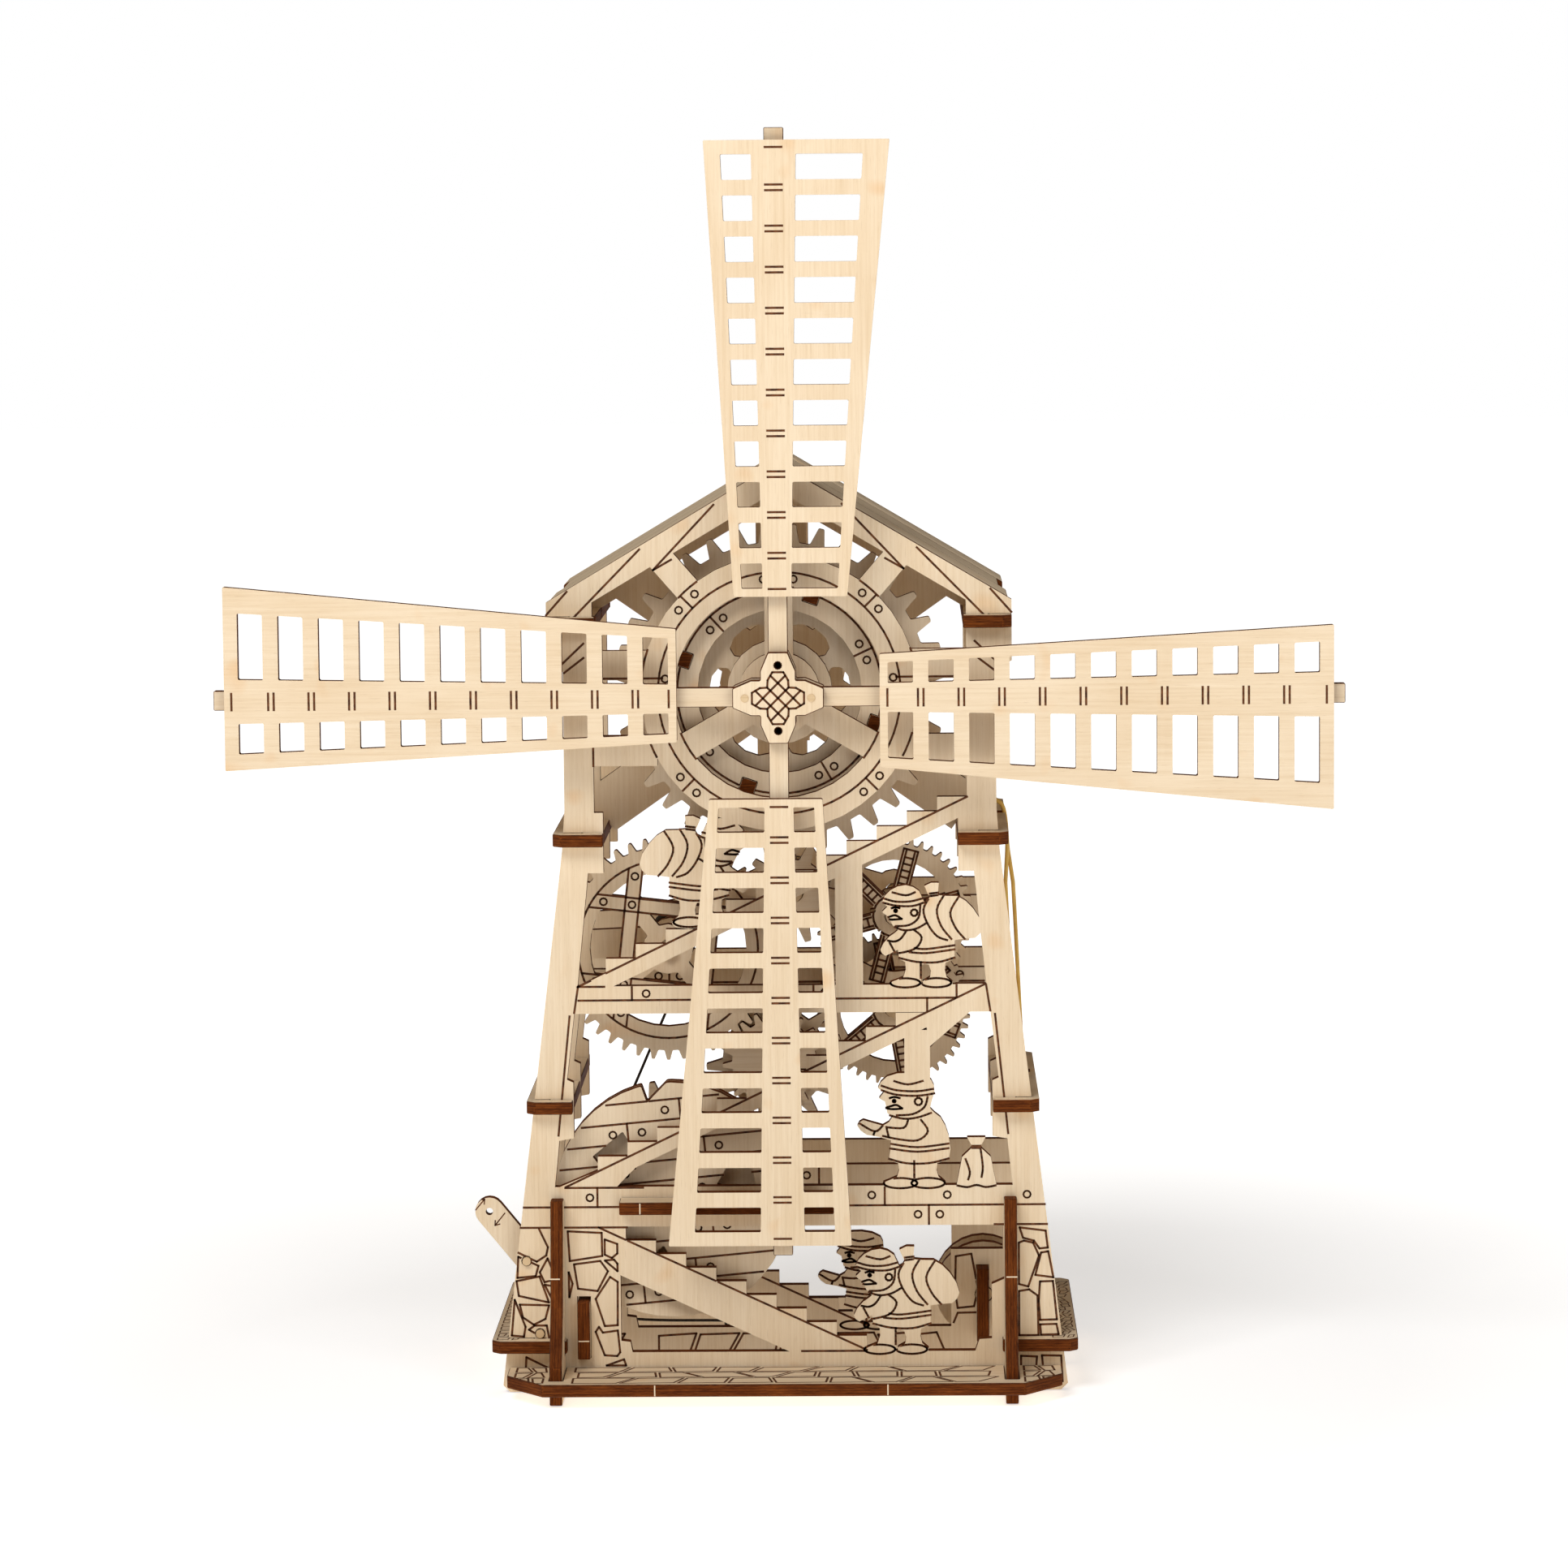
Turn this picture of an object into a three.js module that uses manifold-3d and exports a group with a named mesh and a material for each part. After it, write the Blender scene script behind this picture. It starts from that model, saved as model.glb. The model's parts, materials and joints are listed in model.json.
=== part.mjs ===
// Windmill kit: a plywood tower with a gear train driven by a rubber band.
// Millimetres, +X to the right, +Y to the back, +Z up. The origin is on the ground, in the middle of the box.
import * as THREE from 'three';
import { mergeVertices } from 'three/addons/utils/BufferGeometryUtils.js';
import Module from 'manifold-3d';

const wasm = await Module();
wasm.setup();

// ---------- driving dimensions ----------
const PLY = 3;                       // plywood thickness
const FIT = 0.15;                    // clearance on each side of a slot
const GAP = 0.3;                     // gap between neighbouring boards

const HUB = { x: 0, z: 167.6 };      // sail axis
const KNEE = { x: 51.9, z: 130.3 };  // the tower stops tapering here
const LEG_OUTER = 51.2;
const EAVE = { x: 55, z: 189.4 };
const APEX_Z = 222;
const ROOF_SLOPE = (APEX_Z - EAVE.z) / EAVE.x;

// Front faces of the layers, from the sails to the back.
const SAIL_Y = -14;
const SPAR_Y = SAIL_Y + PLY + GAP;
const HUB_BACK_Y = SPAR_Y + PLY + GAP;
const FRONT_PANEL_Y = 0;
const BRAKE_Y = 4.5;
const WHEEL_BACK_Y = BRAKE_Y + PLY + GAP;
const SAIL_GEAR_Y = 9;
const WINDING_GEAR_Y = 14;
const RIGHT_GEAR_Y = 19;
const LOWER_GEAR_Y = 24;
const MIDDLE_PANEL_Y = 30;
const BAND_Y = 42;                   // plane of the thread and the rubber band
const BACK_PANEL_Y = 67;
const ROOF_BACK_Y = 77;
const LEDGE_FRONT_Y = -4;
const LEDGE_BACK_Y = 74;

const SHAFT_RADIUS = 2;
const BORE_RADIUS = SHAFT_RADIUS + 0.3;
const PEG_RADIUS = 1;

const WOOD = new THREE.Color(0.84, 0.72, 0.52);
const DOWEL = new THREE.Color(0.80, 0.66, 0.45);
const RUBBER = new THREE.Color(0.80, 0.58, 0.18);
const THREAD = new THREE.Color(0.10, 0.09, 0.08);

const model = new THREE.Group();

// ---------- solids ----------
function toSolid(geometry) {
  const bare = geometry.clone();
  bare.deleteAttribute('normal');
  bare.deleteAttribute('uv');
  const merged = mergeVertices(bare, 1e-5);
  return new wasm.Manifold(new wasm.Mesh({
    numProp: 3,
    vertProperties: new Float32Array(merged.attributes.position.array),
    triVerts: new Uint32Array(merged.index.array),
  }));
}

function toGeometry(solid) {
  const mesh = solid.getMesh();
  const geometry = new THREE.BufferGeometry();
  geometry.setAttribute('position', new THREE.BufferAttribute(mesh.vertProperties, 3));
  geometry.setIndex(new THREE.BufferAttribute(mesh.triVerts, 1));
  return geometry;
}

function join(...solids) {
  return solids.reduce((whole, next) => whole.add(next));
}

function cut(solid, ...tools) {
  return tools.reduce((left, tool) => left.subtract(tool), solid);
}

// A board whose outline is drawn in the X-Z plane and whose front face is at y = front.
function plate(outline, front, thickness = PLY) {
  const shape = outline instanceof THREE.Shape ? outline : polygon(outline);
  const geometry = new THREE.ExtrudeGeometry(shape, {
    depth: thickness, bevelEnabled: false, curveSegments: 10,
  });
  geometry.rotateX(Math.PI / 2);
  geometry.translate(0, front + thickness, 0);
  return toSolid(geometry);
}

// A horizontal board whose outline is drawn in the X-Y plane.
function floorBoard(outline, bottom, thickness = PLY) {
  const geometry = new THREE.ExtrudeGeometry(polygon(outline), { depth: thickness, bevelEnabled: false });
  geometry.translate(0, 0, bottom);
  return toSolid(geometry);
}

// An upright board whose outline is drawn in the Y-Z plane, from x = left.
function sideBoard(outline, left, thickness = PLY) {
  const geometry = new THREE.ExtrudeGeometry(polygon(outline), { depth: thickness, bevelEnabled: false });
  geometry.applyMatrix4(new THREE.Matrix4().makeBasis(
    new THREE.Vector3(0, 1, 0), new THREE.Vector3(0, 0, 1), new THREE.Vector3(1, 0, 0),
  ));
  geometry.translate(left, 0, 0);
  return toSolid(geometry);
}

function box(x0, x1, y0, y1, z0, z1) {
  const geometry = new THREE.BoxGeometry(x1 - x0, y1 - y0, z1 - z0);
  geometry.translate((x0 + x1) / 2, (y0 + y1) / 2, (z0 + z1) / 2);
  return toSolid(geometry);
}

// A round bar along Y.
function bar(center, radius, front, back, sides = 12) {
  const geometry = new THREE.CylinderGeometry(radius, radius, back - front, sides);
  geometry.translate(center.x, (front + back) / 2, center.z);
  return toSolid(geometry);
}

function bore(center, radius = BORE_RADIUS) {
  return bar(center, radius, -40, 90);
}

// ---------- outlines ----------
function polygon(points) {
  return new THREE.Shape(points.map(([x, y]) => new THREE.Vector2(x, y)));
}

function circlePoints(center, radius, count = 32, start = 0) {
  const points = [];
  for (let i = 0; i < count; i += 1) {
    const angle = start + (2 * Math.PI * i) / count;
    points.push([center.x + radius * Math.cos(angle), center.z + radius * Math.sin(angle)]);
  }
  return points;
}

function ellipsePoints(center, rx, rz, tilt = 0, count = 10) {
  const points = [];
  for (let i = 0; i < count; i += 1) {
    const angle = (2 * Math.PI * i) / count;
    const x = rx * Math.cos(angle);
    const z = rz * Math.sin(angle);
    points.push([
      center.x + x * Math.cos(tilt) - z * Math.sin(tilt),
      center.z + x * Math.sin(tilt) + z * Math.cos(tilt),
    ]);
  }
  return points;
}

function polar(center, radius, angle) {
  return { x: center.x + radius * Math.cos(angle), z: center.z + radius * Math.sin(angle) };
}

// A straight strip of the given width from one point to another.
function strip(from, to, width) {
  const length = Math.hypot(to.x - from.x, to.z - from.z);
  const nx = (-(to.z - from.z) / length) * (width / 2);
  const nz = ((to.x - from.x) / length) * (width / 2);
  return [
    [from.x + nx, from.z + nz], [from.x - nx, from.z - nz],
    [to.x - nx, to.z - nz], [to.x + nx, to.z + nz],
  ];
}

function mirrored(points) {
  return points.map(([x, z]) => [-x, z]).reverse();
}

function symmetric(rightSide) {
  return [...rightSide, ...mirrored(rightSide)];
}

function degrees(angle) {
  return (angle * Math.PI) / 180;
}

function roofLine(x) {
  return APEX_Z - ROOF_SLOPE * Math.abs(x);
}

// A gear blank with straight-sided teeth; the first tooth points along the phase angle.
function gearPoints(center, gear) {
  const { teeth, module, phase } = gear;
  const pitch = (2 * Math.PI) / teeth;
  const pitchRadius = (teeth * module) / 2;
  const root = pitchRadius - 1.2 * module;
  const tip = pitchRadius + 0.8 * module;
  const points = [];
  for (let i = 0; i < teeth; i += 1) {
    const middle = phase + i * pitch;
    const corners = [[-0.29, root], [-0.1, tip], [0.1, tip], [0.29, root]];
    for (const [offset, radius] of corners) {
      const p = polar(center, radius, middle + offset * pitch);
      points.push([p.x, p.z]);
    }
  }
  return points;
}

// ---------- gear train ----------
// Distance between the axes of two gears in mesh.
function meshDistance(first, second) {
  return ((first.teeth + second.teeth) * first.module) / 2;
}

// The phase that puts a tooth of the follower in a gap of the leader.
function meshPhase(leader, leaderCenter, follower, followerCenter) {
  const angle = Math.atan2(followerCenter.z - leaderCenter.z, followerCenter.x - leaderCenter.x);
  return angle + Math.PI - (Math.PI - leader.teeth * (angle - leader.phase)) / follower.teeth;
}

// The point at two given distances from two centres, on the right of the line from a to b.
function meeting(a, distanceA, b, distanceB) {
  const span = Math.hypot(b.x - a.x, b.z - a.z);
  const along = (distanceA ** 2 - distanceB ** 2 + span ** 2) / (2 * span);
  const across = Math.sqrt(distanceA ** 2 - along ** 2);
  const ux = (b.x - a.x) / span;
  const uz = (b.z - a.z) / span;
  return { x: a.x + ux * along - uz * across, z: a.z + uz * along + ux * across };
}

const SAIL_GEAR = { teeth: 36, module: 2.1, phase: degrees(5) };
const COUNTER_LARGE = { teeth: 10, module: 2.1 };
const COUNTER_MEDIUM = { teeth: 13, module: 1.155, phase: degrees(90) };
const COUNTER_SMALL = { teeth: 16, module: 0.8, phase: degrees(90) };
const WINDING_GEAR = { teeth: 45, module: 1.155 };
const RIGHT_GEAR = { teeth: 46, module: 0.8 };
const RIGHT_PINION = { teeth: 13, module: 0.8, phase: degrees(90) };
const LOWER_GEAR = { teeth: 45, module: 0.8 };
const IDLER_PINION = { teeth: 20, module: 1.155 };
const IDLER_GEAR = { teeth: 15, module: 2, phase: degrees(90) };
const STOP_GEAR = { teeth: 25, module: 2 };

const COARSE_BACKLASH = 0.5;         // extra room between the coarse sail gear and its pinion
const COUNTER_OFFSET = 2.9;
const COUNTER_DROP = Math.sqrt((meshDistance(SAIL_GEAR, COUNTER_LARGE) + COARSE_BACKLASH) ** 2 - COUNTER_OFFSET ** 2);
const COUNTER = { x: HUB.x + COUNTER_OFFSET, z: HUB.z - COUNTER_DROP };
const WINDING = polar(COUNTER, meshDistance(COUNTER_MEDIUM, WINDING_GEAR), degrees(-155.4));
const RIGHT = polar(COUNTER, meshDistance(COUNTER_SMALL, RIGHT_GEAR), degrees(-16.2));
const LOWER = polar(RIGHT, meshDistance(RIGHT_PINION, LOWER_GEAR), degrees(-90.6));
const STOP = { x: -26.8, z: 45.6 };
const IDLER = meeting(WINDING, meshDistance(WINDING_GEAR, IDLER_PINION), STOP, meshDistance(IDLER_GEAR, STOP_GEAR));
const ROLLER = { x: 48, z: 17.4 };
const LEVER = { x: -61.6, z: 31.8 };
const GUIDE_PEG = { x: -58.6, z: 14.2 };

COUNTER_LARGE.phase = meshPhase(SAIL_GEAR, HUB, COUNTER_LARGE, COUNTER);
WINDING_GEAR.phase = meshPhase(COUNTER_MEDIUM, COUNTER, WINDING_GEAR, WINDING);
RIGHT_GEAR.phase = meshPhase(COUNTER_SMALL, COUNTER, RIGHT_GEAR, RIGHT);
LOWER_GEAR.phase = meshPhase(RIGHT_PINION, RIGHT, LOWER_GEAR, LOWER);
IDLER_PINION.phase = meshPhase(WINDING_GEAR, WINDING, IDLER_PINION, IDLER);
STOP_GEAR.phase = meshPhase(IDLER_GEAR, IDLER, STOP_GEAR, STOP);

// ---------- adding pieces ----------
// The model is authored from the front panel and centred on its own box at the end.
function addPiece(name, solid, color = WOOD, roughness = 0.75) {
  const material = new THREE.MeshStandardMaterial({ color, roughness, metalness: 0 });
  const mesh = new THREE.Mesh(toGeometry(solid), material);
  mesh.name = name;
  model.add(mesh);
}

function addPair(name, rightSolid) {
  addPiece(`${name}_right`, rightSolid);
  addPiece(`${name}_left`, rightSolid.mirror([1, 0, 0]));
}

// ---------- tower panels ----------
// Horizontal boards cross the panels with half-lap joints.
const LEDGES = {
  base_ledge: { inner: 52, outer: 70, bottom: 10, lap: 60 },
  lower_cornice: { inner: 50, outer: 61, bottom: 67.7, lap: 55.5 },
  upper_cornice: { inner: 42, outer: 54, bottom: 131.6, lap: 47 },
  eave_ledge: { inner: 43.5, outer: 55, bottom: 183, lap: 49.5 },
};

// The outer outline of a panel; the roof planks lie on gables that are lower by the drop.
function panelOutline(drop) {
  return symmetric([
    [66, 0], [67.6, 1.6], [KNEE.x, KNEE.z], [LEG_OUTER, 140], [LEG_OUTER, 173], [EAVE.x, 175],
    [EAVE.x, EAVE.z - drop], [0.01, APEX_Z - drop],
  ]);
}

function topOpening(drop) {
  const band = 6.4;
  return symmetric([
    [48.6, 97.9], [45.8, 125], [42.1, 125], [42.1, 139.4], [44.2, 139.4],
    [44.2, roofLine(44.2) - band - drop], [0.01, APEX_Z - band - drop],
  ]);
}

const MIDDLE_OPENING = symmetric([
  [54.6, 49.6], [53.4, 60.8], [49.9, 61.4], [49.9, 74.8], [51.4, 75.5], [49.5, 91.3],
]);
const BOTTOM_OPENING = [
  [-36.5, 9.5], [45.5, 9.5], [46.5, 12.3], [49.5, 12.5], [49.5, 25.6], [52.7, 27], [52.7, 40], [-39.2, 40],
  [-39.2, 12.3], [-37, 12],
];

function openPanel(front, drop) {
  const openings = [topOpening(drop), MIDDLE_OPENING, BOTTOM_OPENING];
  const tools = openings.map((outline) => plate(outline, front - 1, PLY + 2));
  return cut(plate(panelOutline(drop), front), ...tools);
}

// The outer half of each leg is notched where a horizontal board crosses it.
function ledgeNotches(front) {
  const tools = [];
  for (const { lap, bottom } of Object.values(LEDGES)) {
    for (const side of [-1, 1]) {
      const x0 = side > 0 ? lap - FIT : -90;
      const x1 = side > 0 ? 90 : -lap + FIT;
      tools.push(box(x0, x1, front - 1, front + PLY + 1, bottom - FIT, bottom + PLY + FIT));
    }
  }
  return tools;
}

// A flight of stairs that rises to the right; its steps stand on a straight stringer.
function stairPoints({ from, to, steps, firstStep, stringer }) {
  const slope = (to.z - from.z) / (to.x - from.x);
  const line = (x) => from.z + slope * (x - from.x);
  const run = (to.x - firstStep) / steps;
  const points = [[from.x, from.z - stringer], [to.x, to.z - stringer], [to.x, to.z]];
  for (let i = steps - 1; i >= 0; i -= 1) {
    const x = firstStep + i * run;
    points.push([x, line(x + run)], [x, line(x)]);
  }
  points.push([from.x, from.z]);
  return points;
}

const UPPER_STAIR = {
  from: { x: -48.7, z: 97.7 }, to: { x: 44.3, z: 142.7 }, steps: 12, firstStep: -41.8, stringer: 4,
};
const MIDDLE_STAIR = {
  from: { x: -52, z: 49.8 }, to: { x: 48.4, z: 98 }, steps: 13, firstStep: -44.3, stringer: 3.6,
};
const LOWER_STAIR = {
  from: { x: -19.6, z: 9.9 }, to: { x: 45, z: 39.9 }, steps: 9, firstStep: -19.6, stringer: 9,
};

// Outlines of a miller one unit high who looks towards +X, from the heel of the back shoe.
const CARRYING_MILLER = [
  [-0.22, 0], [0.02, 0], [0.04, 0.06], [-0.03, 0.1], [-0.02, 0.22], [0.06, 0.22], [0.06, 0], [0.32, 0],
  [0.36, 0.05], [0.23, 0.1], [0.21, 0.25], [0.27, 0.28], [0.28, 0.37], [0.4, 0.31], [0.45, 0.37],
  [0.36, 0.5], [0.28, 0.56], [0.33, 0.61], [0.38, 0.7], [0.43, 0.74], [0.38, 0.79], [0.43, 0.84],
  [0.35, 0.95], [0.2, 1], [0.07, 0.94], [0.02, 0.83], [-0.03, 0.88], [0.02, 0.99], [-0.12, 1.02],
  [-0.11, 0.9], [-0.3, 0.89], [-0.45, 0.77], [-0.54, 0.58], [-0.47, 0.48], [-0.27, 0.46], [-0.27, 0.28],
  [-0.18, 0.24], [-0.19, 0.1], [-0.25, 0.05],
];
const READING_MILLER = [
  [-0.22, 0], [0, 0], [0.02, 0.06], [-0.04, 0.1], [-0.03, 0.21], [0.03, 0.21], [0.04, 0], [0.27, 0],
  [0.3, 0.05], [0.18, 0.1], [0.17, 0.22], [0.25, 0.25], [0.23, 0.42], [0.44, 0.47], [0.52, 0.55],
  [0.47, 0.6], [0.3, 0.55], [0.22, 0.62], [0.26, 0.66], [0.28, 0.76], [0.33, 0.79], [0.29, 0.84],
  [0.34, 0.88], [0.26, 0.98], [0.07, 1.01], [-0.12, 0.95], [-0.15, 0.84], [-0.11, 0.7], [-0.2, 0.62],
  [-0.27, 0.46], [-0.27, 0.25], [-0.17, 0.22], [-0.18, 0.1], [-0.24, 0.05],
];

// A miller whose feet stand at the given point; facing is 1 to the right and -1 to the left.
function miller(outline, foot, height, facing, front) {
  const knots = outline.map(([x, z]) => new THREE.Vector3(foot.x + facing * x * height, foot.z + z * height, 0));
  const curve = new THREE.CatmullRomCurve3(facing > 0 ? knots : knots.reverse(), true, 'centripetal');
  const points = curve.getPoints(outline.length * 2).slice(1);
  return plate(points.map(({ x, y }) => [x, y]), front);
}

// A tied flour sack that stands on a floor.
function sackParts(foot, height, front) {
  return [
    plate([
      [foot.x - 4.8, foot.z], [foot.x + 4.8, foot.z], [foot.x + 3.4, foot.z + height * 0.6],
      [foot.x + 0.9, foot.z + height * 0.8], [foot.x + 2.2, foot.z + height], [foot.x - 2.2, foot.z + height],
      [foot.x - 0.9, foot.z + height * 0.8], [foot.x - 3.4, foot.z + height * 0.6],
    ], front),
  ];
}

function frontPanel() {
  const front = FRONT_PANEL_Y;
  const ring = cut(plate(circlePoints(HUB, 32.8, 40), front), bar(HUB, 25, front - 1, front + 5, 36));
  const spokes = [90, 210, 330].map((angle) => (
    plate(strip(polar(HUB, 4, degrees(angle)), polar(HUB, 28, degrees(angle)), 6.7), front)
  ));
  const braces = [49, 131].map((angle) => (
    plate(strip(polar(HUB, 30, degrees(angle)), polar(HUB, 44, degrees(angle)), 6.2), front)
  ));
  const bars = [[170.9, 177.9, 31], [150.5, 157.7, 29]].flatMap(([z0, z1, reach]) => [
    box(reach, 45, front, front + PLY, z0, z1), box(-45, -reach, front, front + PLY, z0, z1),
  ]);
  const stairs = [
    plate(stairPoints(UPPER_STAIR), front),
    plate(stairPoints(MIDDLE_STAIR), front),
    plate(mirrored(stairPoints(LOWER_STAIR)), front),
    plate([[-54, 49.4], [-40, 49.4], [-37, 52.6], [-34, 55.4], [-36, 57]], front),
  ];
  const struts = [
    box(12.8, 19.3, front, front + PLY, 97, 127), box(29, 35.1, front, front + PLY, 49, 87),
    plate([[35, 83], [45, 91.6], [40, 94], [34, 90]], front),
  ];
  const figures = [
    miller(CARRYING_MILLER, { x: -19.5, z: 112 }, 26, 1, front),
    miller(CARRYING_MILLER, { x: 34.5, z: 97.2 }, 24.5, -1, front),
    miller(READING_MILLER, { x: 32, z: 48.9 }, 27.5, -1, front),
    miller(CARRYING_MILLER, { x: 28, z: 8.8 }, 25.5, -1, front),
    ...sackParts({ x: 46, z: 49.3 }, 11.8, front),
  ];
  const whole = join(
    openPanel(front, 0), ring, ...spokes, ...braces, ...bars, ...stairs, ...struts, ...figures,
    plate(circlePoints(HUB, 9.7, 28), front),
  );
  const bracketSlot = box(-49.65, -46.35, front - 1, front + PLY + 1, 8.15, 23.15);
  const holes = [bore(HUB), bore(LEVER, PEG_RADIUS + GAP), bore(GUIDE_PEG, PEG_RADIUS + GAP), bracketSlot];
  return cut(whole, ...ledgeNotches(front), ...holes);
}

// The inner panels carry the bearings of the gear train on arms between the legs.
function bearingPanel(front, extra) {
  const drop = PLY / Math.cos(Math.atan(ROOF_SLOPE)) + GAP;
  const arm = (from, to, width) => plate(strip(from, to, width), front);
  const boss = (center, radius) => plate(circlePoints(center, radius, 16), front);
  const upperArms = [35, 145, 215, 325].map((angle) => (
    arm(polar(HUB, 4, degrees(angle)), polar(HUB, 54, degrees(angle)), 12)
  ));
  const whole = join(
    openPanel(front, drop), ...upperArms, boss(HUB, 15),
    arm({ x: 0, z: 150 }, { x: 0, z: 214 }, 12),
    arm({ x: -48, z: 104 }, WINDING, 7), arm(WINDING, COUNTER, 7), arm(COUNTER, RIGHT, 7),
    arm(RIGHT, { x: 47.5, z: 112 }, 7), arm(IDLER, { x: IDLER.x, z: 93 }, 7),
    boss(WINDING, 5.5), boss(COUNTER, 5.5), boss(RIGHT, 5.5), boss(LOWER, 5.5), boss(IDLER, 5.5),
    boss(STOP, 6), ...extra,
  ).intersect(plate(panelOutline(drop), front));
  const holes = [HUB, WINDING, COUNTER, RIGHT, LOWER, IDLER, STOP, ROLLER].map((center) => bore(center));
  return cut(whole, ...ledgeNotches(front), ...holes, bore(GUIDE_PEG, PEG_RADIUS + GAP));
}

function middlePanel() {
  const front = MIDDLE_PANEL_Y;
  const extra = [
    plate(mirrored(stairPoints({ ...LOWER_STAIR, stringer: 6 })), front),
    miller(READING_MILLER, { x: 20, z: 8.8 }, 24, -1, front),
    box(40, 53, front, front + PLY, 9, 28.6),
  ];
  const bracketSlot = box(46.05, 49.35, front - 1, front + PLY + 1, 20.85, 24.75);
  return cut(bearingPanel(front, extra), bracketSlot);
}

function backPanel() {
  const front = BACK_PANEL_Y;
  return bearingPanel(front, [box(40.5, 53, front, front + PLY, 9, 33.6)]);
}

// ---------- horizontal boards ----------
function ledge({ inner, outer, bottom, lap }, cutouts) {
  const corner = 2;
  const board = floorBoard([
    [inner, LEDGE_FRONT_Y], [outer - corner, LEDGE_FRONT_Y], [outer, LEDGE_FRONT_Y + corner],
    [outer, LEDGE_BACK_Y - corner], [outer - corner, LEDGE_BACK_Y], [inner, LEDGE_BACK_Y],
  ], bottom);
  const notches = [FRONT_PANEL_Y, MIDDLE_PANEL_Y, BACK_PANEL_Y].map((front) => (
    box(inner - 5, lap + FIT, front - FIT, front + PLY + FIT, bottom - 1, bottom + PLY + 1)
  ));
  return cut(board, ...notches, ...cutouts);
}

function addLedges() {
  const rollerRoom = box(40, 62, 35, 50, 5, 20);
  const bandRoom = box(54.2, 59.8, BAND_Y - 2.5, BAND_Y + 2.5, 65, 75);
  const bandNotch = box(51, 60, BAND_Y - 2.5, BAND_Y + 2.5, 130, 140);
  const bandPegHole = box(45.7, 49.3, BAND_Y - 1.8, BAND_Y + 1.8, 130, 140);
  const threadRoom = box(-63.5, -50, BAND_Y - 2.5, BAND_Y + 2.5, 5, 20);
  const rightCutouts = {
    base_ledge: [rollerRoom], lower_cornice: [bandRoom], upper_cornice: [bandNotch, bandPegHole], eave_ledge: [],
  };
  for (const [name, size] of Object.entries(LEDGES)) {
    addPiece(`${name}_right`, ledge(size, rightCutouts[name]));
    const left = ledge(size, []).mirror([1, 0, 0]);
    addPiece(`${name}_left`, name === 'base_ledge' ? cut(left, threadRoom) : left);
  }
}

function addRoof() {
  const planks = 3;
  const eaveEnds = [54.2, 52.4, 53.8];
  const start = FRONT_PANEL_Y + PLY + GAP;
  const width = (ROOF_BACK_Y - start) / planks;
  const thickness = PLY / Math.cos(Math.atan(ROOF_SLOPE));
  for (let i = 0; i < planks; i += 1) {
    const eave = eaveEnds[i];
    const outline = [
      [GAP / 2, roofLine(0) - thickness], [eave, roofLine(eave) - thickness],
      [eave, roofLine(eave)], [GAP / 2, roofLine(0)],
    ];
    addPair(`roof_plank_${i + 1}`, plate(outline, start + i * width, width - GAP));
  }
}

// ---------- front porch ----------
function addPorch() {
  const deckDepth = 21;
  const deckBack = FRONT_PANEL_Y - GAP;
  const finSlot = (x) => box(x - FIT, x + PLY + FIT, -16.8, 1, 0, 10);
  const deck = floorBoard([
    [-66, deckBack], [-66, -10], [-57, -deckDepth], [57, -deckDepth], [66, -10], [66, deckBack],
  ], 3);
  addPiece('front_deck', cut(deck, finSlot(52.5), finSlot(-55.5)));
  const fin = sideBoard([
    [-16.5, 0], [deckBack, 0], [deckBack, 47], [-5, 47], [-5.5, 40], [-9, 22], [-16.5, 9],
  ], 52.5);
  addPair('front_fin', cut(fin, box(50, 58, LEDGE_FRONT_Y - 0.8, 1, 9.7, 13.4)));
  addPiece('front_shelf', box(-39, 12, -7.2, deckBack, 44, 47));
  addPiece('front_bracket', box(-49.5, -46.5, -2.8, 12, 8.3, 22.2));
  const innerBracket = join(box(46.2, 49.2, 24.5, 29.7, 6.6, 24.6), box(46.2, 49.2, 29, 34, 21, 24.6));
  addPiece('inner_bracket', innerBracket);
}

// ---------- sails ----------
const SAIL = {
  inner: 23.8, outer: 129.9, spar: 132.8, rows: 11, pitch: 9.5, window: 5.9, firstGap: 3.3,
  narrow: [10.2, 16.3], wide: [16.4, 27], centre: [6.7, 10.5], narrowStile: [2, 3.8], wideStile: [2.3, 6],
};

// A sail that points up from the hub, with its narrow side on the left.
function sail() {
  const blend = ([inner, outer], r) => inner + ((outer - inner) * (r - SAIL.inner)) / (SAIL.outer - SAIL.inner);
  const frame = plate([
    [-blend(SAIL.narrow, SAIL.inner), SAIL.inner], [blend(SAIL.wide, SAIL.inner), SAIL.inner],
    [blend(SAIL.wide, SAIL.outer), SAIL.outer], [-blend(SAIL.narrow, SAIL.outer), SAIL.outer],
  ], SAIL_Y);
  const windows = [];
  for (let row = 0; row < SAIL.rows; row += 1) {
    const top = SAIL.outer - SAIL.firstGap - row * SAIL.pitch;
    const bottom = top - SAIL.window;
    for (const side of [-1, 1]) {
      const edge = side < 0 ? SAIL.narrow : SAIL.wide;
      const stile = side < 0 ? SAIL.narrowStile : SAIL.wideStile;
      const outer = (r) => side * (blend(edge, r) - blend(stile, r));
      const inner = (r) => (side * blend(SAIL.centre, r)) / 2;
      const corners = [
        [inner(bottom), bottom], [outer(bottom), bottom], [outer(top), top], [inner(top), top],
      ];
      windows.push(plate(side > 0 ? corners : corners.reverse(), SAIL_Y - 1, PLY + 2));
    }
  }
  return cut(frame, ...windows);
}

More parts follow.
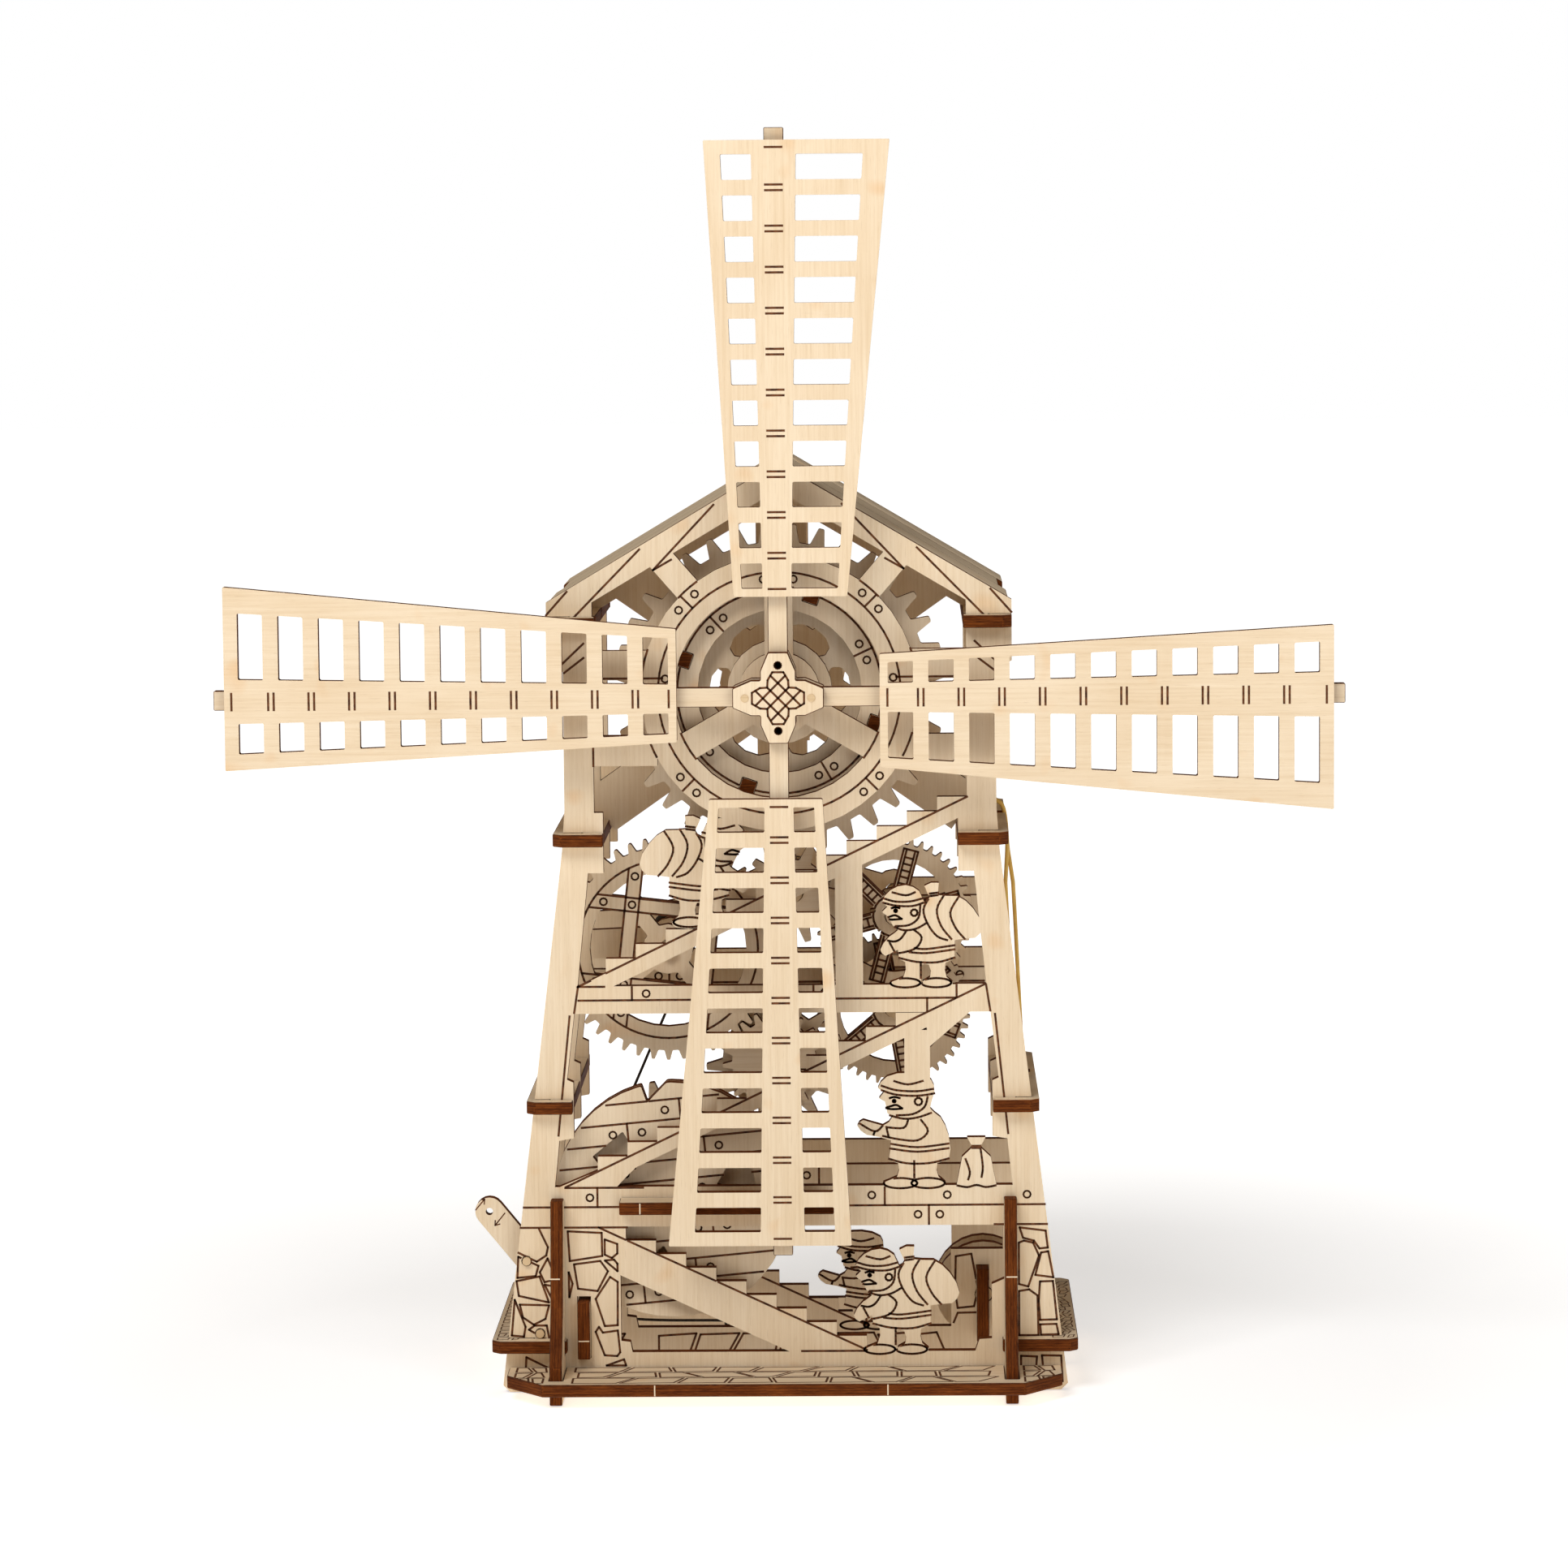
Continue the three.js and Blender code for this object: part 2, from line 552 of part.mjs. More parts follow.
function hubCross(front) {
  const reach = 10.7;
  const end = 2.3;
  const root = 4.15;
  const quarter = [[reach, -end], [reach, end], [root + 2.2, root]];
  const points = [];
  for (let i = 0; i < 4; i += 1) {
    const turn = degrees(90 * i);
    for (const [x, z] of quarter) {
      points.push([x * Math.cos(turn) - z * Math.sin(turn), x * Math.sin(turn) + z * Math.cos(turn)]);
    }
    const notch = polar({ x: 0, z: 0 }, Math.hypot(root, root), turn + degrees(45));
    points.push([notch.x, notch.z]);
    const back = [root, root + 2.2];
    points.push([
      back[0] * Math.cos(turn) - back[1] * Math.sin(turn), back[0] * Math.sin(turn) + back[1] * Math.cos(turn),
    ]);
  }
  return plate(points, front).translate([HUB.x, 0, HUB.z]);
}

function atHub(solid, turn) {
  return solid.rotate([0, turn, 0]).translate([HUB.x, 0, HUB.z]);
}

function addSails() {
  const oneSail = sail();
  for (let i = 0; i < 4; i += 1) {
    addPiece(`sail_${i + 1}`, atHub(oneSail, 90 * i));
  }
  const half = PLY / 2;
  const lap = 2.3 + FIT;
  const spar = box(-2.3, 2.3, SPAR_Y, SPAR_Y + PLY, -SAIL.spar, SAIL.spar);
  const frontLap = box(-5, 5, SPAR_Y - 1, SPAR_Y + half + FIT, -lap, lap);
  const backLap = box(-5, 5, SPAR_Y + half - FIT, SPAR_Y + PLY + 1, -lap, lap);
  addPiece('spar_upright', atHub(cut(spar, frontLap), 0));
  addPiece('spar_level', atHub(cut(spar, backLap), 90));
  addPiece('hub_front', hubCross(SAIL_Y));
  addPiece('hub_back', cut(hubCross(HUB_BACK_Y), bore(HUB)));
  addPiece('sail_shaft', bar(HUB, SHAFT_RADIUS, HUB_BACK_Y, BACK_PANEL_Y + PLY + 2), DOWEL);
}

function addSailGear() {
  const tenonAngles = [71, 161, 251, 341];
  const tenon = (angle, half, front, back) => (
    box(24 - half, 24 + half, front, back, -half, half).rotate([0, -angle, 0]).translate([HUB.x, 0, HUB.z])
  );
  const blank = plate(gearPoints(HUB, SAIL_GEAR), SAIL_GEAR_Y);
  const lightening = [0, 60, 120, 180, 240, 300].map((angle) => (
    plate(ellipsePoints(polar(HUB, 13.5, degrees(angle)), 3.4, 5.6, degrees(angle)), SAIL_GEAR_Y - 1, PLY + 2)
  ));
  const tenons = tenonAngles.map((angle) => tenon(angle, 1.8, BRAKE_Y - 0.2, SAIL_GEAR_Y + 1));
  addPiece('sail_gear', join(cut(blank, bore(HUB), ...lightening), ...tenons));
  const ring = cut(plate(circlePoints(HUB, 31, 36), BRAKE_Y), bar(HUB, 19.5, BRAKE_Y - 1, BRAKE_Y + 5, 28));
  addPiece('brake_wheel', cut(ring, ...tenonAngles.map((angle) => tenon(angle, 2.0, BRAKE_Y - 1, BRAKE_Y + 5))));
  const lenses = [30, 150, 270].map((angle) => (
    plate(ellipsePoints(polar(HUB, 7.6, degrees(angle)), 1.7, 4, degrees(angle)), BRAKE_Y - 1, PLY + 2)
  ));
  addPiece('inner_wheel', cut(plate(circlePoints(HUB, 12.5, 24), BRAKE_Y), bore(HUB), ...lenses));
}

// ---------- gear train ----------
function hollowGear(center, gear, front, rim) {
  return cut(plate(gearPoints(center, gear), front), bar(center, rim, front - 1, front + PLY + 1, 32));
}

function spokedGear(center, gear, front, { rim, boss, spokes, width, turn = 0 }) {
  const arms = [];
  for (let i = 0; i < spokes; i += 1) {
    const angle = degrees(turn) + (2 * Math.PI * i) / spokes;
    arms.push(plate(strip(center, polar(center, rim + 1, angle), width), front));
  }
  const middle = plate(circlePoints(center, boss, 16), front);
  return cut(join(hollowGear(center, gear, front, rim), middle, ...arms), bore(center));
}

// A wheel whose rim is held by two pairs of crossed planks, with short arms from the boss to their crossings.
function plankedGear(center, gear, front, { rim, boss, plankOffset, width, turn }) {
  const parts = [plate(circlePoints(center, boss, 16), front)];
  const reach = Math.sqrt((rim + 1) ** 2 - plankOffset ** 2);
  for (let i = 0; i < 4; i += 1) {
    const angle = degrees(turn + 90 * i);
    const middle = polar(center, plankOffset, angle);
    const along = angle + Math.PI / 2;
    parts.push(plate(strip(polar(middle, -reach, along), polar(middle, reach, along), width), front));
    const crossing = polar(center, plankOffset * Math.SQRT2, angle + Math.PI / 4);
    parts.push(plate(strip(center, crossing, width), front));
  }
  return cut(join(hollowGear(center, gear, front, rim), ...parts), bore(center));
}

function pinion(center, gear, front) {
  return cut(plate(gearPoints(center, gear), front), bore(center));
}

function shaft(center, front, back = BACK_PANEL_Y + PLY) {
  return bar(center, SHAFT_RADIUS, front, back);
}

function addGearTrain() {
  addPiece('counter_shaft', shaft(COUNTER, SAIL_GEAR_Y - 2), DOWEL);
  addPiece('counter_pinion_large', pinion(COUNTER, COUNTER_LARGE, SAIL_GEAR_Y));
  addPiece('counter_pinion_medium', pinion(COUNTER, COUNTER_MEDIUM, WINDING_GEAR_Y));
  addPiece('counter_pinion_small', pinion(COUNTER, COUNTER_SMALL, RIGHT_GEAR_Y));

  const windingWheel = { rim: 18.8, boss: 6, plankOffset: 9.7, width: 3.6, turn: -6.5 };
  addPiece('winding_gear', plankedGear(WINDING, WINDING_GEAR, WINDING_GEAR_Y, windingWheel));
  addPiece('winding_shaft', shaft(WINDING, WINDING_GEAR_Y - 2), DOWEL);
  addPiece('thread_spool', cut(bar(WINDING, 4.8, BAND_Y - 4, BAND_Y + 4, 20), bore(WINDING)), DOWEL);

  const rightWheel = { rim: 13.6, boss: 4.6, spokes: 6, width: 4, turn: 15 };
  addPiece('right_gear', spokedGear(RIGHT, RIGHT_GEAR, RIGHT_GEAR_Y, rightWheel));
  const rightPinion = plate(gearPoints(RIGHT, RIGHT_PINION), LOWER_GEAR_Y);
  addPiece('right_pinion_shaft', join(shaft(RIGHT, RIGHT_GEAR_Y - 2), rightPinion), DOWEL);

  const lowerWheel = { rim: 13, boss: 4.6, spokes: 6, width: 4, turn: 40 };
  addPiece('lower_gear', spokedGear(LOWER, LOWER_GEAR, LOWER_GEAR_Y, lowerWheel));
  addPiece('lower_shaft', shaft(LOWER, LOWER_GEAR_Y - 2), DOWEL);

  const idlerPinion = plate(gearPoints(IDLER, IDLER_PINION), WINDING_GEAR_Y);
  addPiece('idler_pinion_shaft', join(shaft(IDLER, WINDING_GEAR_Y - 1), idlerPinion), DOWEL);
  addPiece('idler_gear', pinion(IDLER, IDLER_GEAR, RIGHT_GEAR_Y));
}

// The stop wheel is two discs on one shaft, with a notch that the stop lever drops into.
function addStopWheel() {
  const radius = 28.4;
  const notchAngle = degrees(104);
  const notch = [
    polar(STOP, radius + 3, notchAngle + 0.02), polar(STOP, radius - 4.2, notchAngle),
    polar(STOP, radius + 3, notchAngle - 0.3),
  ].map(({ x, z }) => [x, z]);
  const disc = (front) => cut(
    plate(circlePoints(STOP, radius, 44), front),
    plate(notch.reverse(), front - 1, PLY + 2), bore(STOP),
  );
  const windows = [0, 120, 240].map((turn) => {
    const blade = [[-11.7, 16.6], [-19, 10.6], [-16.5, 7.4], [-8.5, 7.4], [-9.6, 13]];
    const corners = blade.map(([x, z]) => {
      const p = polar(STOP, Math.hypot(x, z), Math.atan2(z, x) + degrees(turn));
      return [p.x, p.z];
    });
    return plate(corners, BRAKE_Y - 1, PLY + 2);
  });
  addPiece('stop_wheel_front', cut(disc(BRAKE_Y), ...windows));
  addPiece('stop_wheel_back', disc(WHEEL_BACK_Y));
  const gear = plate(gearPoints(STOP, STOP_GEAR), RIGHT_GEAR_Y);
  addPiece('stop_gear_shaft', join(shaft(STOP, FRONT_PANEL_Y + PLY + GAP), gear), DOWEL);
}

function addStopLever() {
  const tip = { x: -70.7, z: 43 };
  const tail = { x: -56.9, z: 26 };
  const width = 6.8;
  const arm = join(
    plate(strip(tip, tail, width), BRAKE_Y), plate(circlePoints(tip, width / 2, 20), BRAKE_Y),
    plate(circlePoints(tail, width / 2, 20), BRAKE_Y),
  );
  addPiece('stop_lever', cut(arm, bore(LEVER, PEG_RADIUS + GAP), bore(tip, 0.9)));
  addPiece('lever_pivot', bar(LEVER, PEG_RADIUS, -1, BRAKE_Y + PLY + 2.5, 12), DOWEL);
}

// ---------- rubber-band drive ----------
function addRoller() {
  const discs = [36, 45].map((front) => plate(circlePoints(ROLLER, 11.9, 28), front));
  const bars = [81, 171, 261, 351].map((angle) => {
    const center = polar(ROLLER, 8.7, degrees(angle));
    return box(center.x - 1.8, center.x + 1.8, 35.7, 48.3, center.z - 1.8, center.z + 1.8);
  });
  const core = join(discs[0], discs[1], ...bars);
  addPiece('guide_roller', cut(core, bore(ROLLER)));
  addPiece('roller_axle', bar(ROLLER, SHAFT_RADIUS, MIDDLE_PANEL_Y, BACK_PANEL_Y + PLY + 2), DOWEL);
}

// A round cord along a path in the plane of the band.
function cord(points, radius, sides = 8) {
  const path = new THREE.CatmullRomCurve3(points.map(([x, z, y = BAND_Y]) => new THREE.Vector3(x, y, z)),
    false, 'centripetal');
  const section = new THREE.Shape();
  for (let i = 0; i < sides; i += 1) {
    const angle = (2 * Math.PI * i) / sides;
    const [u, v] = [radius * Math.cos(angle), radius * Math.sin(angle)];
    if (i === 0) section.moveTo(u, v);
    else section.lineTo(u, v);
  }
  section.closePath();
  const geometry = new THREE.ExtrudeGeometry(section, { steps: 44, extrudePath: path });
  return toSolid(geometry);
}

function arcPoints(center, radius, fromAngle, toAngle, count) {
  const points = [];
  for (let i = 0; i <= count; i += 1) {
    const p = polar(center, radius, degrees(fromAngle + ((toAngle - fromAngle) * i) / count));
    points.push([p.x, p.z]);
  }
  return points;
}

const KNOT = { x: -14.5, z: 8.8 };

function addDrive() {
  addPiece('guide_peg', bar(GUIDE_PEG, PEG_RADIUS, -1, BACK_PANEL_Y + PLY, 12), DOWEL);
  const peg = new THREE.CylinderGeometry(PEG_RADIUS, PEG_RADIUS, 9, 12);
  peg.rotateX(Math.PI / 2);
  peg.translate(47.5, BAND_Y, 135.1);
  addPiece('band_peg', toSolid(peg), DOWEL);

  const threadRoute = [
    ...arcPoints(WINDING, 5.9, 80, -23, 4),
    ...arcPoints(GUIDE_PEG, 1.8, 156, 264, 4),
    [-38, 9.3], [KNOT.x - 1, KNOT.z],
  ];
  addPiece('pull_thread', cord(threadRoute, 0.4), THREAD);
  const bandRoute = [
    [KNOT.x, KNOT.z], [18, 7],
    ...arcPoints(ROLLER, 11.7, -92, 2, 6),
    [57.2, 69.2], [54.6, 124], [54.1, 132.6], [53.2, 136.3], [51.4, 137.7], [50.1, 137.9],
  ];
  addPiece('rubber_band', cord(bandRoute, 0.7), RUBBER);
}

// ---------- the whole model ----------
addPiece('front_panel', frontPanel());
addPiece('middle_panel', middlePanel());
addPiece('back_panel', backPanel());
addLedges();
addRoof();
addPorch();
addSails();
addSailGear();
addGearTrain();
addStopWheel();
addStopLever();
addRoller();
addDrive();

const bounds = new THREE.Box3().setFromObject(model);
const depthCenter = (bounds.min.y + bounds.max.y) / 2;
for (const mesh of model.children) {
  mesh.geometry.translate(0, -depthCenter, 0);
}

export default model;
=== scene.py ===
"""A wooden windmill kit: fine ply parts, engraving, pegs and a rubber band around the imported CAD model."""
import json
import math
import random

import bmesh
import bpy
from mathutils import Matrix, Vector
from mathutils.bvhtree import BVHTree


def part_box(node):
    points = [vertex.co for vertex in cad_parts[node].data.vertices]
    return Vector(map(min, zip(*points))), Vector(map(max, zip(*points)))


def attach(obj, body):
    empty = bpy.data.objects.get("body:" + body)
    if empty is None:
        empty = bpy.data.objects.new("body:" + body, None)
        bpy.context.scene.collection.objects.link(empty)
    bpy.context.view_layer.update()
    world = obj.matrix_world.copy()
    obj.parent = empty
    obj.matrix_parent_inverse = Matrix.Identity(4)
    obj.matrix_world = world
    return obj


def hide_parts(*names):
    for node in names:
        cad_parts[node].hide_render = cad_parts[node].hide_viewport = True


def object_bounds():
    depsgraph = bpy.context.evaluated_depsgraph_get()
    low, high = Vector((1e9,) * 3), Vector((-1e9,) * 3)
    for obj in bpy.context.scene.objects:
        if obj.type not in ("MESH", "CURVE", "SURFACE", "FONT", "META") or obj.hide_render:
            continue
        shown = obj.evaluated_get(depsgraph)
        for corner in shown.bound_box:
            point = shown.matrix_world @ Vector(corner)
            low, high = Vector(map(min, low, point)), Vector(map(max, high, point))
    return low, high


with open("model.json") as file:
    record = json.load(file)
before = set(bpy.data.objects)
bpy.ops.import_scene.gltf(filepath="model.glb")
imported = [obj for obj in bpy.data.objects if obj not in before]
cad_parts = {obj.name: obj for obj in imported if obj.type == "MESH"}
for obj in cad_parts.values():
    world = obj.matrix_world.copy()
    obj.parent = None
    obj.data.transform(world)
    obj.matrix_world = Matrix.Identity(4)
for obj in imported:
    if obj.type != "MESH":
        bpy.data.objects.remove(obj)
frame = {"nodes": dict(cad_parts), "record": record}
CAD_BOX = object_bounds()

MM = 0.001
PLY = 3.0 * MM                  # sheet thickness
CHAR_WIDTH = 0.19 * MM          # burnt chamfer along every cut
TOOTH_CHAR_WIDTH = 0.13 * MM    # the same on a toothed wheel
LINE_WIDTH = 0.52 * MM          # engraved line
LINE_HEIGHT = 0.03 * MM

BODIES = frame["record"]["behaviour"]["bodies"]
BODY_OF = {node: body for body, nodes in BODIES.items() for node in nodes}
SLOT_OF = {entry["node"]: entry["material_slot"] for entry in frame["record"]["subparts"]}

X = Vector((1, 0, 0))
Y = Vector((0, 1, 0))
Z = Vector((0, 0, 1))


def centre(node):
    """Middle of a CAD node's box."""
    low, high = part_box(node)
    return (Vector(low) + Vector(high)) / 2


def front_of(node):
    """Y of a CAD node's front face."""
    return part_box(node)[0][1]


HUB = centre("sail_shaft")
TOWER_FRONT = front_of("front_panel")


# ---------- materials ----------
def new_material(name, roughness):
    material = bpy.data.materials.new(name)
    material.use_nodes = True
    shader = material.node_tree.nodes["Principled BSDF"]
    shader.inputs["Roughness"].default_value = roughness
    shader.inputs["Specular IOR Level"].default_value = 0.25
    return material, material.node_tree, shader


def add_node(tree, kind, **settings):
    node = tree.nodes.new(kind)
    for key, value in settings.items():
        if key in node.inputs:
            node.inputs[key].default_value = value
        else:
            setattr(node, key, value)
    return node


def stretched(tree, scale):
    """The piece's own UV map, in millimetres, stretched by a scale."""
    coordinates = add_node(tree, "ShaderNodeTexCoord")
    mapping = add_node(tree, "ShaderNodeMapping")
    mapping.inputs["Scale"].default_value = scale
    tree.links.new(coordinates.outputs["UV"], mapping.inputs["Vector"])
    return mapping.outputs["Vector"]


def noise_at(tree, vector, detail=3.0, roughness=0.55):
    texture = add_node(tree, "ShaderNodeTexNoise", Scale=1.0, Detail=detail, Roughness=roughness)
    tree.links.new(vector, texture.inputs["Vector"])
    return texture.outputs["Fac"]


def ramp(tree, value, stops):
    node = add_node(tree, "ShaderNodeValToRGB")
    elements = node.color_ramp.elements
    while len(elements) < len(stops):
        elements.new(0.5)
    for element, (place, colour) in zip(elements, stops):
        element.position = place
        element.color = (*colour, 1.0)
    tree.links.new(value, node.inputs["Fac"])
    return node.outputs["Color"]


def mix(tree, factor, first, second, blend="MIX"):
    node = add_node(tree, "ShaderNodeMix", data_type="RGBA", blend_type=blend)
    for value, socket in ((factor, node.inputs["Factor"]), (first, node.inputs[6]), (second, node.inputs[7])):
        if isinstance(value, bpy.types.NodeSocket):
            tree.links.new(value, socket)
        elif isinstance(value, tuple):
            socket.default_value = (*value, 1.0)
        else:
            socket.default_value = value
    return node.outputs[2]


def add_bump(tree, shader, height, strength, distance):
    bump = add_node(tree, "ShaderNodeBump", Strength=strength, Distance=distance)
    tree.links.new(height, bump.inputs["Height"])
    tree.links.new(bump.outputs["Normal"], shader.inputs["Normal"])


def face_material():
    """Bare birch: pale cream with fine streaks, soft clouds and faint orange scorch marks."""
    material, tree, shader = new_material("ply_face", 0.62)
    streaks = noise_at(tree, stretched(tree, (0.035, 1.5, 1)), 5.0, 0.6)
    clouds = noise_at(tree, stretched(tree, (0.03, 0.07, 1)), 2.0)
    pores = noise_at(tree, stretched(tree, (0.25, 5.0, 1)), 2.0)
    scorch = noise_at(tree, stretched(tree, (0.09, 0.09, 1)), 1.0)
    base = ramp(tree, streaks, [(0.3, (0.71, 0.535, 0.335)), (0.5, (0.795, 0.63, 0.43)),
                                (0.72, (0.85, 0.70, 0.51))])
    cloudy = mix(tree, 0.35, base, ramp(tree, clouds, [(0.3, (0.70, 0.52, 0.32)), (0.7, (0.86, 0.72, 0.53))]))
    dots = ramp(tree, pores, [(0.28, (0.80, 0.74, 0.66)), (0.4, (1.0, 1.0, 1.0))])
    grained = mix(tree, 0.55, cloudy, dots, "MULTIPLY")
    warm = ramp(tree, scorch, [(0.66, (1.0, 1.0, 1.0)), (0.8, (0.93, 0.72, 0.50))])
    colour = mix(tree, 0.6, grained, warm, "MULTIPLY")
    tree.links.new(colour, shader.inputs["Base Color"])
    add_bump(tree, shader, streaks, 0.12, 0.0001)
    return material


def edge_material():
    """Burnt cut edge: dark brown with the three plies and their glue lines."""
    material, tree, shader = new_material("ply_edge", 0.7)
    shader.inputs["Specular IOR Level"].default_value = 0.08
    streaks = noise_at(tree, stretched(tree, (0.5, 9.0, 1)), 4.0, 0.7)
    patches = noise_at(tree, stretched(tree, (0.12, 1.2, 1)), 2.0)
    burnt = ramp(tree, streaks, [(0.32, (0.036, 0.007, 0.001)), (0.5, (0.125, 0.026, 0.003)),
                                 (0.68, (0.30, 0.085, 0.014))])
    patchy = mix(tree, 0.5, burnt, ramp(tree, patches, [(0.35, (0.05, 0.010, 0.001)), (0.7, (0.25, 0.066, 0.010))]))
    waves = add_node(tree, "ShaderNodeTexWave", wave_type="BANDS", bands_direction="Y", Scale=1.0)
    waves.inputs["Distortion"].default_value = 1.0
    tree.links.new(stretched(tree, (1.0, 0.477, 1)), waves.inputs["Vector"])
    plies = ramp(tree, waves.outputs["Fac"], [(0.05, (0.45, 0.42, 0.40)), (0.35, (1.0, 1.0, 1.0))])
    tree.links.new(mix(tree, 0.7, patchy, plies, "MULTIPLY"), shader.inputs["Base Color"])
    add_bump(tree, shader, streaks, 0.3, 0.0001)
    return material


def char_material(name, dark, brown):
    """The thin burnt line that the cut leaves on the face."""
    material, tree, shader = new_material(name, 0.8)
    patches = noise_at(tree, stretched(tree, (0.6, 0.6, 1)), 3.0)
    tree.links.new(ramp(tree, patches, [(0.35, dark), (0.65, brown)]), shader.inputs["Base Color"])
    return material


def dowel_material():
    """Round birch rod, a little warmer than the sheet, with the grain along it."""
    material, tree, shader = new_material("dowel_wood", 0.6)
    grain = noise_at(tree, stretched(tree, (0.06, 3.0, 1)), 4.0)
    colour = ramp(tree, grain, [(0.3, (0.55, 0.37, 0.19)), (0.7, (0.76, 0.58, 0.36))])
    tree.links.new(colour, shader.inputs["Base Color"])
    add_bump(tree, shader, grain, 0.2, 0.0001)
    return material


def rubber_material():
    """Amber rubber: slightly see-through gold with a waxy sheen."""
    material, tree, shader = new_material("amber_rubber", 0.38)
    clouds = noise_at(tree, stretched(tree, (0.2, 0.2, 1)), 2.0)
    colour = ramp(tree, clouds, [(0.3, (0.62, 0.35, 0.06)), (0.7, (0.80, 0.52, 0.13))])
    tree.links.new(colour, shader.inputs["Base Color"])
    shader.inputs["Subsurface Weight"].default_value = 0.25
    shader.inputs["Subsurface Radius"].default_value = (0.002, 0.001, 0.0004)
    return material


def thread_material():
    """Dark cotton thread with a fine twist."""
    material, tree, shader = new_material("dark_thread", 0.85)
    twist = noise_at(tree, stretched(tree, (2.5, 2.5, 1)), 2.0)
    colour = ramp(tree, twist, [(0.3, (0.015, 0.012, 0.010)), (0.7, (0.06, 0.05, 0.04))])
    tree.links.new(colour, shader.inputs["Base Color"])
    add_bump(tree, shader, twist, 0.5, 0.0001)
    return material


FACE = face_material()
EDGE = edge_material()
CHAR = char_material("burnt_rim", (0.040, 0.013, 0.005), (0.15, 0.052, 0.017))
ENGRAVED = char_material("engraved_line", (0.045, 0.014, 0.005), (0.16, 0.055, 0.018))
DOWEL = dowel_material()
RUBBER = rubber_material()
THREAD = thread_material()
PLY_MATERIALS = (FACE, EDGE, CHAR, DOWEL)
FACE_INDEX, EDGE_INDEX, CHAR_INDEX, DOWEL_INDEX = range(4)


# ---------- making pieces ----------
def new_piece(name, mesh, body):
    piece = bpy.data.objects.new(name, mesh)
    bpy.context.scene.collection.objects.link(piece)
    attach(piece, body)
    return piece


def grain_offset(name):
    """A fixed shift of the grain, so that no two pieces show the same figure."""
    total = sum((i + 1) * ord(letter) for i, letter in enumerate(name))
    return Vector(((total % 97) * 3.1, (total % 89) * 2.3))


def map_grain(bm, thin, grain, start, shift):
    """UVs in millimetres: along and across the grain on faces, along and through the sheet on cut edges."""
    layer = bm.loops.layers.uv.verify()
    across = thin.cross(grain)
    for face in bm.faces:
        flat = abs(face.normal.dot(thin)) > 0.6
        along = grain if flat else thin.cross(face.normal).normalized()
        for loop in face.loops:
            place = loop.vert.co / MM
            if flat:
                loop[layer].uv = Vector((place.dot(along), place.dot(across))) + shift
            else:
                loop[layer].uv = Vector((place.dot(along) + shift.x, place.dot(thin) - start / MM))


def is_rim(edge, thin):
    """An edge between a sheet face and a cut edge."""
    if len(edge.link_faces) != 2:
        return False
    flats = [abs(face.normal.dot(thin)) > 0.99 for face in edge.link_faces]
    return flats[0] != flats[1]


def is_corner(edge, thin):
    """A corner of the outline, through the sheet."""
    if len(edge.link_faces) != 2 or edge.calc_length() < 1e-6:
        return False
    direction = (edge.verts[1].co - edge.verts[0].co).normalized()
    return abs(direction.dot(thin)) > 0.99 and edge.calc_face_angle(0) > math.radians(24)


def refine(node, thin=Y, grain=Z, corner=0.3 * MM, core=0.0):
    """Replaces a CAD sheet with one that has rounded corners, burnt rims, cut edges and grain."""
    bm = bmesh.new()
    bm.from_mesh(frame["nodes"][node].data)
    bmesh.ops.remove_doubles(bm, verts=bm.verts, dist=2e-6)
    bmesh.ops.dissolve_limit(bm, angle_limit=math.radians(0.8), verts=bm.verts, edges=bm.edges)
    bm.normal_update()
    start = min(vert.co.dot(thin) for vert in bm.verts)
    if corner > 0:
        corners = [edge for edge in bm.edges if is_corner(edge, thin)]
        bmesh.ops.bevel(bm, geom=corners, offset=corner, offset_type="OFFSET", segments=2, profile=0.5,
                        affect="EDGES", clamp_overlap=True)
        bm.normal_update()
    rims = [edge for edge in bm.edges if is_rim(edge, thin)]
    toothed = any(word in node for word in ("gear", "wheel", "pinion"))
    bmesh.ops.bevel(bm, geom=rims, offset=TOOTH_CHAR_WIDTH if toothed else CHAR_WIDTH, offset_type="OFFSET",
                    segments=1, profile=0.5, affect="EDGES", clamp_overlap=True)
    bm.normal_update()
    middle = centre(node)
    for face in bm.faces:
        lean = abs(face.normal.dot(thin))
        place = face.calc_center_median() - middle
        radial = place - thin * place.dot(thin)
        if lean > 0.97:
            face.material_index = FACE_INDEX
        elif lean > 0.2:
            face.material_index = CHAR_INDEX
        elif radial.length < core:
            face.material_index = DOWEL_INDEX
        else:
            face.material_index = EDGE_INDEX
    map_grain(bm, thin, grain, start, grain_offset(node))
    mesh = bpy.data.meshes.new(node + "_fine")
    bm.to_mesh(mesh)
    bm.free()
    for material in PLY_MATERIALS:
        mesh.materials.append(material)
    piece = new_piece(node + "_fine", mesh, BODY_OF[node])
    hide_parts(node)
    return piece


def add_block(bm, low, high):
    """A closed box between two corners."""
    size = Vector(high) - Vector(low)
    middle = (Vector(high) + Vector(low)) / 2
    matrix = Matrix.Translation(middle) @ Matrix.Diagonal((*size, 1))
    bmesh.ops.create_cube(bm, size=1, matrix=matrix)


